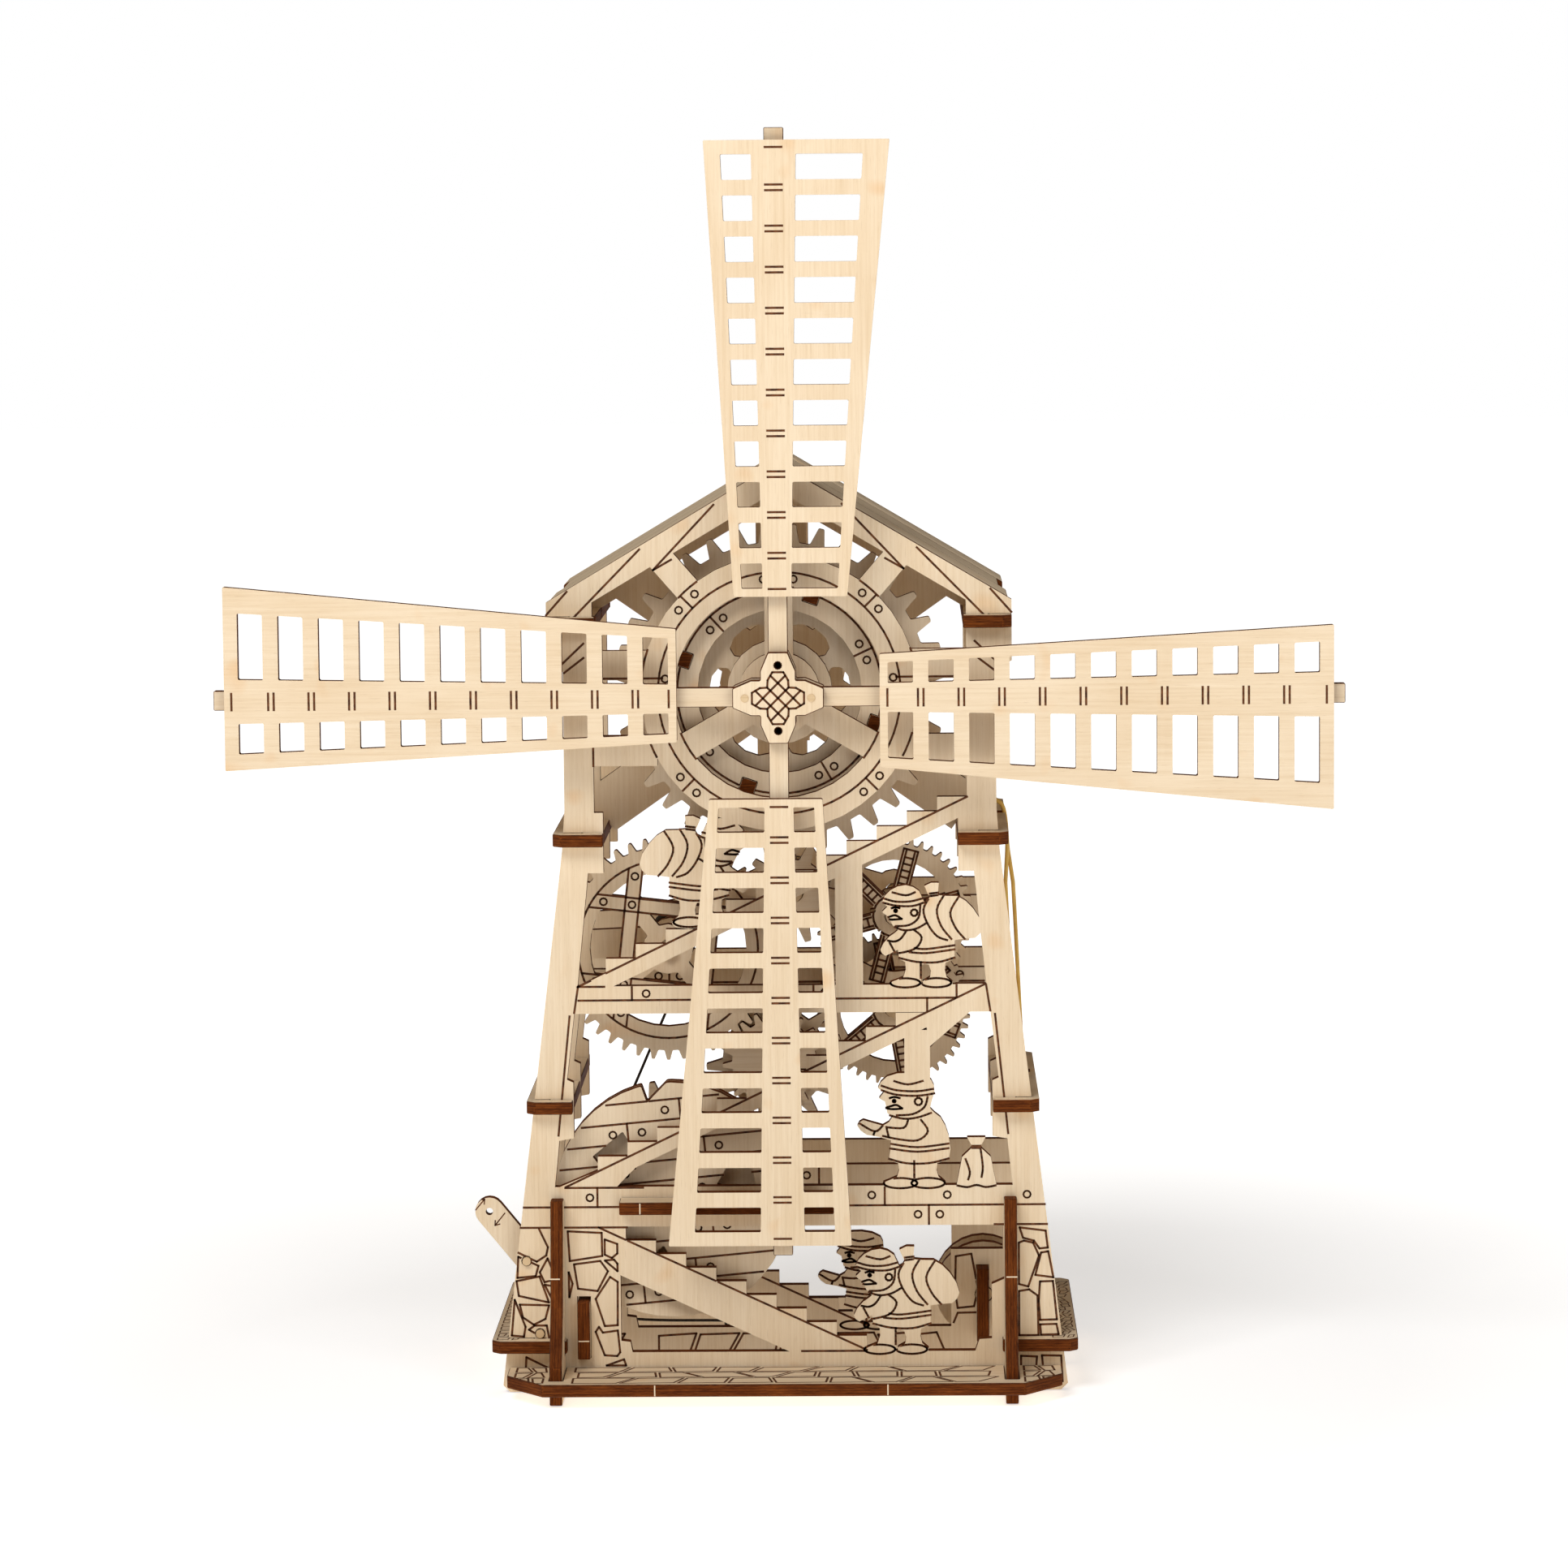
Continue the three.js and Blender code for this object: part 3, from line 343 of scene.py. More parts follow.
class Engraving:
    """Thin burnt lines on one flat face of a sheet; a line is drawn in the face's own two directions, in mm."""

    def __init__(self, name, node, origin, right=X, up=Z, width=LINE_WIDTH):
        self.name = name
        self.node = node
        self.origin = Vector(origin)
        self.right = Vector(right)
        self.up = Vector(up)
        self.out = self.right.cross(self.up).normalized()
        self.width = width
        self.bm = bmesh.new()
        sheet = frame["nodes"][node].data
        self.sheet = BVHTree.FromPolygons([v.co for v in sheet.vertices], [p.vertices[:] for p in sheet.polygons])

    def place(self, point, height):
        return self.origin + self.right * point[0] * MM + self.up * point[1] * MM + self.out * height

    def on_sheet(self, point):
        """Whether there is wood under a point of the drawing."""
        hit = self.sheet.ray_cast(self.place(point, 0.4 * MM), -self.out, 0.8 * MM)
        return hit[0] is not None

    def stroke(self, start, end, half):
        (x0, z0), (x1, z1) = start, end
        length = math.hypot(x1 - x0, z1 - z0)
        if length < 1e-4:
            return
        dx, dz = (x1 - x0) / length * half, (z1 - z0) / length * half
        ring = [(x0 - dx * 0.7 - dz, z0 - dz * 0.7 + dx), (x0 - dx * 0.7 + dz, z0 - dz * 0.7 - dx),
                (x1 + dx * 0.7 + dz, z1 + dz * 0.7 - dx), (x1 + dx * 0.7 - dz, z1 + dz * 0.7 + dx)]
        top = [self.bm.verts.new(self.place(p, LINE_HEIGHT)) for p in ring]
        low = [self.bm.verts.new(self.place(p, -LINE_HEIGHT)) for p in ring]
        self.bm.faces.new(top)
        self.bm.faces.new(low[::-1])
        for i in range(4):
            j = (i + 1) % 4
            self.bm.faces.new((top[i], low[i], low[j], top[j]))

    def line(self, *points, closed=False, width=None):
        """One stroke through the points, left out where the sheet has a hole."""
        half = (width or self.width) / 2 / MM
        ends = list(points) + ([points[0]] if closed else [])
        for start, end in zip(ends, ends[1:]):
            steps = max(1, round(math.dist(start, end) / 0.7))
            spots = [(start[0] + (end[0] - start[0]) * i / steps, start[1] + (end[1] - start[1]) * i / steps)
                     for i in range(steps + 1)]
            first = None
            for here, after in zip(spots, spots[1:]):
                middle = ((here[0] + after[0]) / 2, (here[1] + after[1]) / 2)
                if self.on_sheet(middle):
                    first = first or here
                elif first:
                    self.stroke(first, here, half)
                    first = None
            if first:
                self.stroke(first, end, half)

    def curve(self, *knots, closed=False):
        """A smooth stroke through the knots."""
        count = len(knots)
        points = []
        for i in range(count if closed else count - 1):
            a, b, c, d = (knots[(i + k) % count] if closed else knots[min(max(i + k, 0), count - 1)]
                          for k in (-1, 0, 1, 2))
            for step in range(4):
                t = step / 4
                points.append(tuple(
                    0.5 * (2 * b[k] + (c[k] - a[k]) * t + (2 * a[k] - 5 * b[k] + 4 * c[k] - d[k]) * t * t
                           + (3 * b[k] - a[k] - 3 * c[k] + d[k]) * t ** 3) for k in (0, 1)))
        if not closed:
            points.append(knots[-1])
        self.line(*points, closed=closed)

    def arc(self, middle, radius, start=0.0, end=360.0, count=16, width=None):
        steps = max(3, round(count * abs(end - start) / 360))
        angles = [math.radians(start + (end - start) * i / steps) for i in range(steps + 1)]
        self.line(*[(middle[0] + radius * math.cos(a), middle[1] + radius * math.sin(a)) for a in angles], width=width)

    def spoke(self, middle, angle, inner, outer, aside=0.0):
        """A straight stroke away from a middle; aside shifts it to its left."""
        c, s = math.cos(math.radians(angle)), math.sin(math.radians(angle))
        self.line(*[(middle[0] + r * c - aside * s, middle[1] + r * s + aside * c) for r in (inner, outer)])

    def nail(self, middle, radius=0.85):
        self.arc(middle, radius, count=12, width=0.42 * MM)

    def nail_at(self, middle, radius, angle):
        turn = math.radians(angle)
        self.nail((middle[0] + radius * math.cos(turn), middle[1] + radius * math.sin(turn)))

    def finish(self):
        bmesh.ops.recalc_face_normals(self.bm, faces=self.bm.faces)
        layer = self.bm.loops.layers.uv.verify()
        for face in self.bm.faces:
            for loop in face.loops:
                place = (loop.vert.co - self.origin) / MM
                loop[layer].uv = (place.dot(self.right), place.dot(self.up))
        mesh = bpy.data.meshes.new(self.name)
        self.bm.to_mesh(mesh)
        self.bm.free()
        mesh.materials.append(ENGRAVED)
        return new_piece(self.name, mesh, BODY_OF[self.node])


# ---------- sheets ----------
def refine_all():
    slope = math.atan2(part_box("roof_plank_1_right")[1][2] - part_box("roof_plank_1_right")[0][2] - PLY, 0.0541)
    for node in frame["nodes"]:
        if node.startswith("roof_plank"):
            side = 1 if node.endswith("right") else -1
            thin = Vector((side * math.sin(slope), 0, math.cos(slope)))
            refine(node, thin, Vector((side * math.cos(slope), 0, -math.sin(slope))))
        elif "ledge" in node or "cornice" in node:
            refine(node, Z, Y)
        elif node in ("front_deck", "front_shelf"):
            refine(node, Z, X)
        elif "fin" in node or "bracket" in node:
            refine(node, X, Z)
        elif node in ("sail_2", "sail_4", "spar_level"):
            refine(node, Y, X)
        elif "pinion" in node or node in ("stop_gear_shaft", "idler_gear"):
            refine(node, Y, X, 0.2 * MM, core=2.3 * MM)
        elif node == "right_gear":
            refine(node, Y, Z, 0.25 * MM)
        elif SLOT_OF[node] == "ply":
            refine(node, Y, Z)


def polish_rods():
    """Dowels keep their CAD shape and get wood grain."""
    for node, thing in frame["nodes"].items():
        if SLOT_OF[node] != "dowel" or "pinion" in node:
            continue
        thing.data.materials.clear()
        thing.data.materials.append(DOWEL)


refine_all()
polish_rods()


# ---------- thread and rubber band ----------
CORD_Y = 14.15 * MM             # plane that both run in
ROLLER = (48.0, 17.4)
GUIDE_PEG = (-58.6, 14.2)
KNOT = (-14.5, 8.8)


def arc_points(middle, radius, start, end, count):
    angles = [math.radians(start + (end - start) * i / count) for i in range(count + 1)]
    return [(middle[0] + radius * math.cos(a), middle[1] + radius * math.sin(a)) for a in angles]


def smooth_path(points, steps):
    """Points along a smooth curve through a route of X and Z in millimetres, in metres."""
    route = [Vector((x, 0, z)) * MM + Vector((0, CORD_Y, 0)) for x, z in points]
    route = [route[0] * 2 - route[1]] + route + [route[-1] * 2 - route[-2]]
    path = []
    for before, start, end, after in zip(route, route[1:], route[2:], route[3:]):
        length = (end - start).length
        first = ((end - before) / ((end - before).length + 1e-9)) * length
        last = ((after - start) / ((after - start).length + 1e-9)) * length
        for i in range(steps):
            t = i / steps
            path.append(start * (2 * t ** 3 - 3 * t ** 2 + 1) + first * (t ** 3 - 2 * t ** 2 + t)
                        + end * (3 * t ** 2 - 2 * t ** 3) + last * (t ** 3 - t ** 2))
    return path + [route[-2]]


def add_tube(bm, path, radius, closed=False, sides=12):
    """A round tube along a path, with its length and girth in millimetres as its UVs."""
    count = len(path)
    rings, lengths, total = [], [], 0.0
    for i, point in enumerate(path):
        ahead = path[(i + 1) % count] if closed or i < count - 1 else point
        behind = path[i - 1] if closed or i > 0 else point
        along = (ahead - behind).normalized()
        side = along.cross(Y if abs(along.y) < 0.8 else X).normalized()
        other = side.cross(along)
        total += (point - path[i - 1]).length / MM if i else 0.0
        lengths.append(total)
        turns = [2 * math.pi * k / sides for k in range(sides)]
        rings.append([bm.verts.new(point + side * radius * math.cos(a) + other * radius * math.sin(a)) for a in turns])
    layer = bm.loops.layers.uv.verify()
    for i in range(count if closed else count - 1):
        j = (i + 1) % count
        for k in range(sides):
            m = (k + 1) % sides
            face = bm.faces.new((rings[i][k], rings[j][k], rings[j][m], rings[i][m]))
            face.smooth = True
            for loop, (at, turn) in zip(face.loops, ((i, k), (j, k), (j, k + 1), (i, k + 1))):
                loop[layer].uv = (lengths[at], turn * 2 * math.pi * radius / MM / sides)
    if not closed:
        bm.faces.new(rings[0])
        bm.faces.new(rings[-1][::-1])


def finish_cord(bm, name, body, slot, material, *nodes):
    bmesh.ops.recalc_face_normals(bm, faces=bm.faces)
    mesh = bpy.data.meshes.new(name)
    bm.to_mesh(mesh)
    bm.free()
    mesh.materials.append(material)
    piece = new_piece(name, mesh, body)
    if nodes:
        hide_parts(*nodes)


def add_thread():
    """The pull thread, the turns that lie on the spool, and the knot that ties it to the band."""
    winding = mm_of(centre("winding_shaft"))
    route = arc_points(winding, 5.9, 80, -23, 4) + arc_points(GUIDE_PEG, 1.8, 156, 264, 4)
    route += [(-38.0, 9.3), (KNOT[0] - 1, KNOT[1])]
    bm = bmesh.new()
    add_tube(bm, smooth_path(route, 8), 0.34 * MM)
    finish_cord(bm, "pull_thread_fine", BODY_OF["pull_thread"], SLOT_OF["pull_thread"], THREAD, "pull_thread")
    bm = bmesh.new()
    turns, low, high = 9, -3.3, 3.3
    axis = Vector((winding[0] * MM, CORD_Y, winding[1] * MM))
    helix = []
    for i in range(turns * 24 + 1):
        angle = 2 * math.pi * i / 24
        rise = low + (high - low) * i / (turns * 24)
        helix.append(axis + Vector((5.2 * math.cos(angle), rise, 5.2 * math.sin(angle))) * MM)
    add_tube(bm, helix, 0.36 * MM, sides=8)
    finish_cord(bm, "thread_turns", BODY_OF["thread_spool"], SLOT_OF["pull_thread"], THREAD)
    bm = bmesh.new()
    knot = []
    for i in range(60):
        t = 2 * math.pi * i / 60
        knot.append(Vector((KNOT[0] - 0.4 + 0.42 * (math.sin(t) + 2 * math.sin(2 * t)),
                            CORD_Y / MM - 0.5 * math.sin(3 * t),
                            KNOT[1] + 0.42 * (math.cos(t) - 2 * math.cos(2 * t)))) * MM)
    add_tube(bm, knot, 0.36 * MM, closed=True)
    finish_cord(bm, "thread_knot", BODY_OF["pull_thread"], SLOT_OF["pull_thread"], THREAD)


def add_band():
    """The rubber band is doubled: two strands side by side, which open a little along the wall."""
    route = [KNOT, (18.0, 7.0)] + arc_points(ROLLER, 11.7, -92, 2, 6)
    route += [(57.2, 69.2), (54.6, 124.0), (54.1, 132.6), (53.2, 136.3), (51.4, 137.7), (50.1, 137.9)]
    middle = smooth_path(route, 8)
    bm = bmesh.new()
    for side in (-1, 1):
        strand = []
        for point in middle:
            rise = min(max((point.z / MM - 35) / 25, 0), 1) * min(max((128 - point.z / MM) / 12, 0), 1)
            open_up = rise * rise * (3 - 2 * rise)
            strand.append(point + Vector((side * 0.95 * open_up, side * (0.62 - 0.3 * open_up), 0)) * MM)
        add_tube(bm, strand, 0.5 * MM)
    finish_cord(bm, "rubber_band_fine", BODY_OF["rubber_band"], SLOT_OF["rubber_band"], RUBBER, "rubber_band")


# ---------- engraving ----------
def mm_of(point):
    """X and Z of a point in millimetres, for a drawing on an upright sheet."""
    return (point.x / MM, point.z / MM)


def on_front(node, name=None, middle=None):
    """A drawing on the front face of an upright sheet; its zero is the middle, or the ground below the axis."""
    origin = Vector((middle.x, front_of(node), middle.z)) if middle else Vector((0, front_of(node), 0))
    return Engraving(name or node + "_lines", node, origin)


def on_top(node, name=None):
    return Engraving(name or node + "_lines", node, (0, 0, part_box(node)[1][2]), X, Y)


def engrave_frame(drawing):
    """Joints, planks and nails of the beams, legs and gables of the front panel."""
    line, nail = drawing.line, drawing.nail
    # upper beam
    line((-48.5, 94.5), (41.3, 94.7))
    line((-35.7, 94.5), (-35.7, 97.7))
    nail((-32.3, 96.1))
    line((7.5, 94.6), (7.5, 97.7))
    nail((10.2, 96.2))
    line((41.5, 94.9), (41.5, 97.8))
    line((34.5, 91.5), (34.5, 94.7))
    for side in (-1, 1):
        line((side * 48.5, 97.9), (side * 49.5, 91.5))
        line((side * 50.6, 90.8), (side * 53.6, 62.0))
    line((-48.5, 97.8), (-42.2, 97.8))
    # middle beam
    line((-62.2, 44.7), (62.3, 44.9))
    line((-44.5, 44.7), (-44.5, 49.4))
    nail((-46.3, 47.0))
    line((24.1, 44.9), (24.1, 49.2))
    nail((21.0, 47.3))
    nail((58.0, 47.3))
    nail((39.0, 47.3))
    line((34.6, 40.2), (34.6, 44.9))
    nail((32.0, 42.6))
    nail((37.2, 42.6))
    line((-52.2, 49.4), (-33.5, 49.4))
    line((-63.0, 39.8), (-37.5, 39.8))
    line((50.2, 40.1), (62.8, 40.1))
    # stair strings
    line((-48.7, 97.7), (44.3, 142.7))
    line((-52.0, 49.6), (48.2, 97.9))
    line((-44.3, 39.8), (19.6, 9.8))
    line((4.0, 9.6), (19.6, 9.6))
    # bars between ring and legs, and the gables
    for side in (-1, 1):
        line((side * 50.0, 192.0), (side * 55.0, 186.4))
        line((side * 32.7, 201.9), (side * 48.6, 185.7))
        line((side * 15.1, 212.3), (side * 29.6, 196.9), (side * 25.2, 199.4))
        line((side * 46.2, 179.7), (side * 52.0, 174.2))
        line((side * 44.2, 178.0), (side * 44.2, 170.6))
        line((side * 44.2, 157.6), (side * 44.2, 150.5))
        line((side * 27.6, 171.3), (side * 44.0, 171.3))
        line((side * 46.2, 176.3), (side * 50.9, 172.7))


def engrave_ring(drawing):
    middle = mm_of(HUB)
    drawing.arc(middle, 28.7, count=72)
    for start, end in ((4, 20), (160, 176), (196, 214), (326, 344), (44, 54), (126, 136)):
        drawing.arc(middle, 32.8, start, end, count=72)
    for angle in (90, 210, 330):
        drawing.arc(middle, 25.2, angle - 8, angle + 8, count=72)
    for angle in (45, 135, 225, 315):
        drawing.spoke(middle, angle, 28.7, 32.6)
        drawing.nail_at(middle, 30.8, angle - 5)
        drawing.nail_at(middle, 30.8, angle + 5)
    for angle in (7.5, 82.5, 97.5, 172.5, 187.5, 352.5):
        drawing.nail_at(middle, 27.2, angle)


LEFT_WALL_STONES = [
    [(-63.6, 32.8), (-58.8, 30.6), (-59.5, 28.1), (-63.9, 27.7)],
    [(-56.6, 32.4), (-58.5, 29.0), (-57.4, 26.6), (-54.6, 27.4)],
    [(-64.1, 26.9), (-58.6, 28.0), (-56.4, 21.7), (-63.6, 23.3)],
    [(-57.4, 26.0), (-55.6, 22.4), (-54.0, 25.4)],
    [(-63.4, 21.2), (-56.4, 21.0), (-57.3, 17.7), (-60.1, 16.3), (-62.7, 18.1)],
    [(-64.6, 22.4), (-62.1, 15.8), (-62.5, 13.4), (-65.4, 13.7)],
    [(-61.3, 15.1), (-59.9, 16.1), (-57.0, 16.1), (-56.3, 12.1)],
    [(-51.7, 38.9), (-43.6, 38.5), (-43.5, 32.9), (-51.3, 31.7)],
    [(-42.9, 36.9), (-39.9, 35.8), (-39.9, 33.5), (-41.2, 32.4), (-42.9, 33.2)],
    [(-42.9, 31.8), (-40.7, 32.0), (-39.9, 31.0), (-39.9, 29.2)],
    [(-50.3, 30.9), (-44.0, 31.7), (-42.2, 29.2), (-44.7, 24.4), (-49.4, 25.0)],
    [(-41.7, 27.8), (-39.9, 26.6), (-40.0, 16.1), (-43.1, 15.9), (-45.2, 22.5)],
    [(-44.5, 15.7), (-43.6, 14.3), (-40.0, 14.8), (-39.5, 9.5), (-40.2, 8.6), (-43.2, 8.8), (-45.3, 14.5)],
    [(-51.6, 29.0), (-50.7, 26.2), (-51.5, 22.9)],
    [(-42.8, 6.3), (-38.6, 7.8), (-38.1, 6.3)],
    [(-62.0, 8.4), (-62.2, 5.2), (-55.8, 5.3)],
]
RIGHT_WALL_STONES = [
    [(56.2, 39.3), (62.4, 38.5), (62.9, 34.4), (60.9, 34.2), (59.6, 36.1), (57.0, 36.8)],
    [(56.0, 35.6), (57.2, 36.1), (59.4, 35.6), (60.8, 32.5), (58.2, 25.0), (56.0, 25.6)],
    [(61.3, 33.2), (63.0, 33.5), (64.2, 27.2), (59.9, 27.8)],
    [(61.0, 26.2), (64.1, 26.3), (65.0, 17.0), (61.0, 16.9), (60.7, 21.5)],
    [(56.0, 23.9), (58.4, 24.3), (60.4, 22.8), (60.6, 13.2), (56.0, 13.2)],
    [(61.0, 15.8), (64.9, 15.9), (65.4, 13.4), (61.2, 13.3)],
    [(56.4, 8.2), (60.2, 8.0), (60.0, 5.4), (56.4, 5.6)],
    [(61.4, 8.3), (66.0, 8.2), (66.3, 2.0), (62.0, 1.6)],
]


def engrave_stones(drawing):
    drawing.line((-58.6, 39.6), (-56.5, 35.1), (-56.9, 33.1), (-59.2, 31.6), (-63.6, 33.8))
    for stone in LEFT_WALL_STONES + RIGHT_WALL_STONES:
        drawing.line(*stone, closed=True)


def stone_row(drawing, start, end, low, high, width, seed):
    """A row of irregular stones between two levels."""
    chance = random.Random(seed)
    left = start
    lean = 0.0
    while left < end - width * 0.6:
        right = min(left + width * chance.uniform(0.75, 1.3), end)
        new_lean = chance.uniform(-0.22, 0.22) * width
        gap = 0.5
        drawing.line((left + gap - lean, low), (right - gap - new_lean, low + chance.uniform(0, 0.6)),
                     (right - gap + new_lean, high), (left + gap + lean, high - chance.uniform(0, 0.6)), closed=True)
        left, lean = right, new_lean


# Lines of a miller one unit high who looks towards +X.
CARRYING_LINES = [
    [(0.06, 0.25), (0.06, 0.09)],
    [(-0.27, 0.29), (-0.1, 0.245), (0.1, 0.25), (0.27, 0.29)],
    [(-0.27, 0.37), (0.0, 0.335), (0.17, 0.345)],
    [(-0.27, 0.41), (0.0, 0.375), (0.12, 0.385)],
    [(0.12, 0.56), (0.05, 0.49), (0.1, 0.39), (0.22, 0.345), (0.38, 0.325)],
    [(0.2, 0.55), (0.25, 0.48), (0.31, 0.45), (0.38, 0.46)],
    [(0.31, 0.345), (0.36, 0.44)],
    [(0.0, 0.63), (0.1, 0.575), (0.22, 0.56), (0.33, 0.6)],
    [(0.06, 0.8), (0.08, 0.68), (0.17, 0.61), (0.3, 0.6)],
    [(0.02, 0.83), (0.14, 0.795), (0.3, 0.8), (0.42, 0.83)],
    [(0.035, 0.87), (0.16, 0.84), (0.3, 0.84), (0.41, 0.87)],
    [(0.11, 0.93), (0.2, 0.9), (0.33, 0.93)],
    [(0.26, 0.775), (0.3, 0.785), (0.34, 0.775)],
    [(0.24, 0.67), (0.3, 0.705), (0.35, 0.695), (0.39, 0.68)],
    [(0.24, 0.67), (0.3, 0.665), (0.35, 0.665), (0.39, 0.68)],
    [(-0.03, 0.88), (0.03, 0.76), (-0.01, 0.62), (-0.1, 0.5), (-0.2, 0.46)],
    [(-0.17, 0.9), (-0.1, 0.76), (-0.14, 0.6), (-0.24, 0.47)],
    [(-0.31, 0.88), (-0.23, 0.73), (-0.28, 0.58), (-0.37, 0.47)],
    [(-0.11, 0.9), (-0.03, 0.89)],
    [(-0.115, 0.925), (-0.03, 0.915)],
]
READING_LINES = [
    [(0.03, 0.24), (0.03, 0.09)],
    [(-0.27, 0.26), (-0.1, 0.22), (0.1, 0.22), (0.25, 0.26)],
    [(-0.27, 0.35), (0.0, 0.32), (0.24, 0.35)],
    [(-0.27, 0.39), (0.0, 0.36), (0.23, 0.39)],
    [(-0.03, 0.6), (-0.09, 0.5), (0.0, 0.42), (0.16, 0.43), (0.3, 0.46)],
    [(0.08, 0.6), (0.12, 0.53), (0.26, 0.535)],
    [(0.25, 0.45), (0.27, 0.54)],
    [(0.3, 0.55), (0.37, 0.5), (0.5, 0.57)],
    [(0.37, 0.5), (0.38, 0.47)],
    [(-0.12, 0.66), (0.0, 0.62), (0.12, 0.61), (0.24, 0.64)],
    [(-0.09, 0.8), (-0.06, 0.71), (0.04, 0.65), (0.18, 0.64)],
    [(-0.15, 0.83), (0.0, 0.81), (0.18, 0.82), (0.31, 0.86)],
    [(-0.14, 0.87), (0.0, 0.85), (0.18, 0.86), (0.31, 0.9)],
    [(-0.05, 0.94), (0.08, 0.91), (0.2, 0.94)],
    [(0.15, 0.79), (0.2, 0.8), (0.24, 0.79)],
    [(0.13, 0.7), (0.18, 0.73), (0.23, 0.72), (0.28, 0.705)],
    [(0.13, 0.7), (0.18, 0.695), (0.23, 0.695), (0.28, 0.705)],
]


def engrave_miller(drawing, foot, height, facing, lines, eye, ear, shoes):
    """Clothes, face and load of a miller; facing is 1 to the right and -1 to the left."""
    def at(x, z):
        return (foot[0] + facing * x * height, foot[1] + z * height)

    for knots in lines:
        drawing.curve(*[at(*knot) for knot in knots])
    drawing.arc(at(*eye), 0.3, count=8, width=0.55 * MM)
    drawing.arc(at(*ear), 0.032 * height, count=10)
    for x in shoes:
        drawing.curve(*[at(x + 0.145 * math.cos(a), 0.045 + 0.045 * math.sin(a))
                        for a in (math.tau * i / 8 for i in range(8))], closed=True)


def carrying_miller(drawing, foot, height, facing):
    engrave_miller(drawing, foot, height, facing, CARRYING_LINES, (0.3, 0.75), (0.12, 0.73), (-0.09, 0.21))


def reading_miller(drawing, foot, height, facing):
    engrave_miller(drawing, foot, height, facing, READING_LINES, (0.2, 0.765), (-0.01, 0.76), (-0.09, 0.15))


def engrave_small_sack(drawing, x, ground, height):
    neck = ground + height * 0.8
    drawing.line((x - 1.0, neck - 0.2), (x + 1.0, neck - 0.2))
    drawing.line((x - 1.0, neck + 0.3), (x + 1.0, neck + 0.3))
    drawing.curve((x - 4.6, ground + 0.2), (x - 2.2, ground - 0.2), (x, ground + 0.3), (x + 2.2, ground - 0.2),
                  (x + 4.6, ground + 0.2))
    drawing.curve((x - 2.6, ground + height * 0.56), (x - 1.6, ground + height * 0.3), (x - 2.0, ground + 1.6))
    drawing.curve((x + 1.0, neck - 0.4), (x + 1.5, ground + height * 0.4), (x + 1.2, ground + 2.2))


def engrave_front_panel():
    drawing = on_front("front_panel")
    engrave_frame(drawing)
    engrave_ring(drawing)
    engrave_stones(drawing)
    carrying_miller(drawing, (-19.5, 112.0), 26.0, 1)
    carrying_miller(drawing, (34.5, 97.2), 24.5, -1)
    reading_miller(drawing, (32.0, 48.9), 27.5, -1)
    carrying_miller(drawing, (28.0, 8.8), 25.5, -1)
    engrave_small_sack(drawing, 46.0, 49.3, 11.8)
    drawing.finish()


def engrave_middle_panel():
    drawing = on_front("middle_panel")
    reading_miller(drawing, (20.0, 8.8), 24.0, -1)
    drawing.line((-48.5, 94.6), (48.5, 94.6))
    drawing.line((-55.0, 44.7), (55.0, 44.7))
    for x in (-28.0, -2.0, 17.0, 40.0):
        drawing.line((x, 94.6), (x, 97.9))
        drawing.nail((x - 2.6, 96.2))
        drawing.nail((x + 2.6, 96.2))
    for x in (-20.0, 8.0):
        drawing.line((x, 44.7), (x, 49.4))
        drawing.nail((x - 3.0, 47.0))
    drawing.line((-44.3, 39.8), (19.6, 9.8))
    for start, end in ((-60, -40), (-32, 38)):
        stone_row(drawing, start, end, 2.4, 8.0, 8.5, 5)
    drawing.line((41.2, 26.8), (45.0, 27.4), (46.6, 18.6), (45.6, 14.4), (41.6, 14.0), (41.0, 18.0), closed=True)
    drawing.line((40.6, 10.4), (41.6, 12.8), (46.4, 12.9), (47.0, 10.4))
    drawing.finish()


def engrave_hub():
    drawing = on_front("hub_front", middle=HUB)
    line = drawing.line
    petal = [(-2.4, 4.2), (-1.3, 6.1), (1.3, 6.1), (2.4, 4.2), (2.5, 2.5)]
    outline = []
    for c, s in ((1, 0), (0, 1), (-1, 0), (0, -1)):
        outline += [(x * c + z * s, z * c - x * s) for x, z in petal]
    line(*outline, closed=True, width=0.5 * MM)
    line((-2.5, 2.5), (2.5, -2.5))
    line((-2.5, -2.5), (2.5, 2.5))
    for side in (-1, 1):
        line((side * 5.3, -1.75), (-side * 1.75, 5.3))
        line((side * 5.3, 1.75), (-side * 1.75, -5.3))
        drawing.nail((0, side * 7.7), 0.8)
        drawing.arc((0, side * 7.7), 0.35, count=8, width=0.7 * MM)
    drawing.finish()
    for side, name in ((-1, "left"), (1, "right")):
        end = HUB + Vector((side * 7.8 * MM, 0, 0))
        add_peg("hub_peg_" + name, end, front_of("hub_front") - 0.25 * MM, front_of("hub_back"), "sail_rotor", 0.95 * MM)


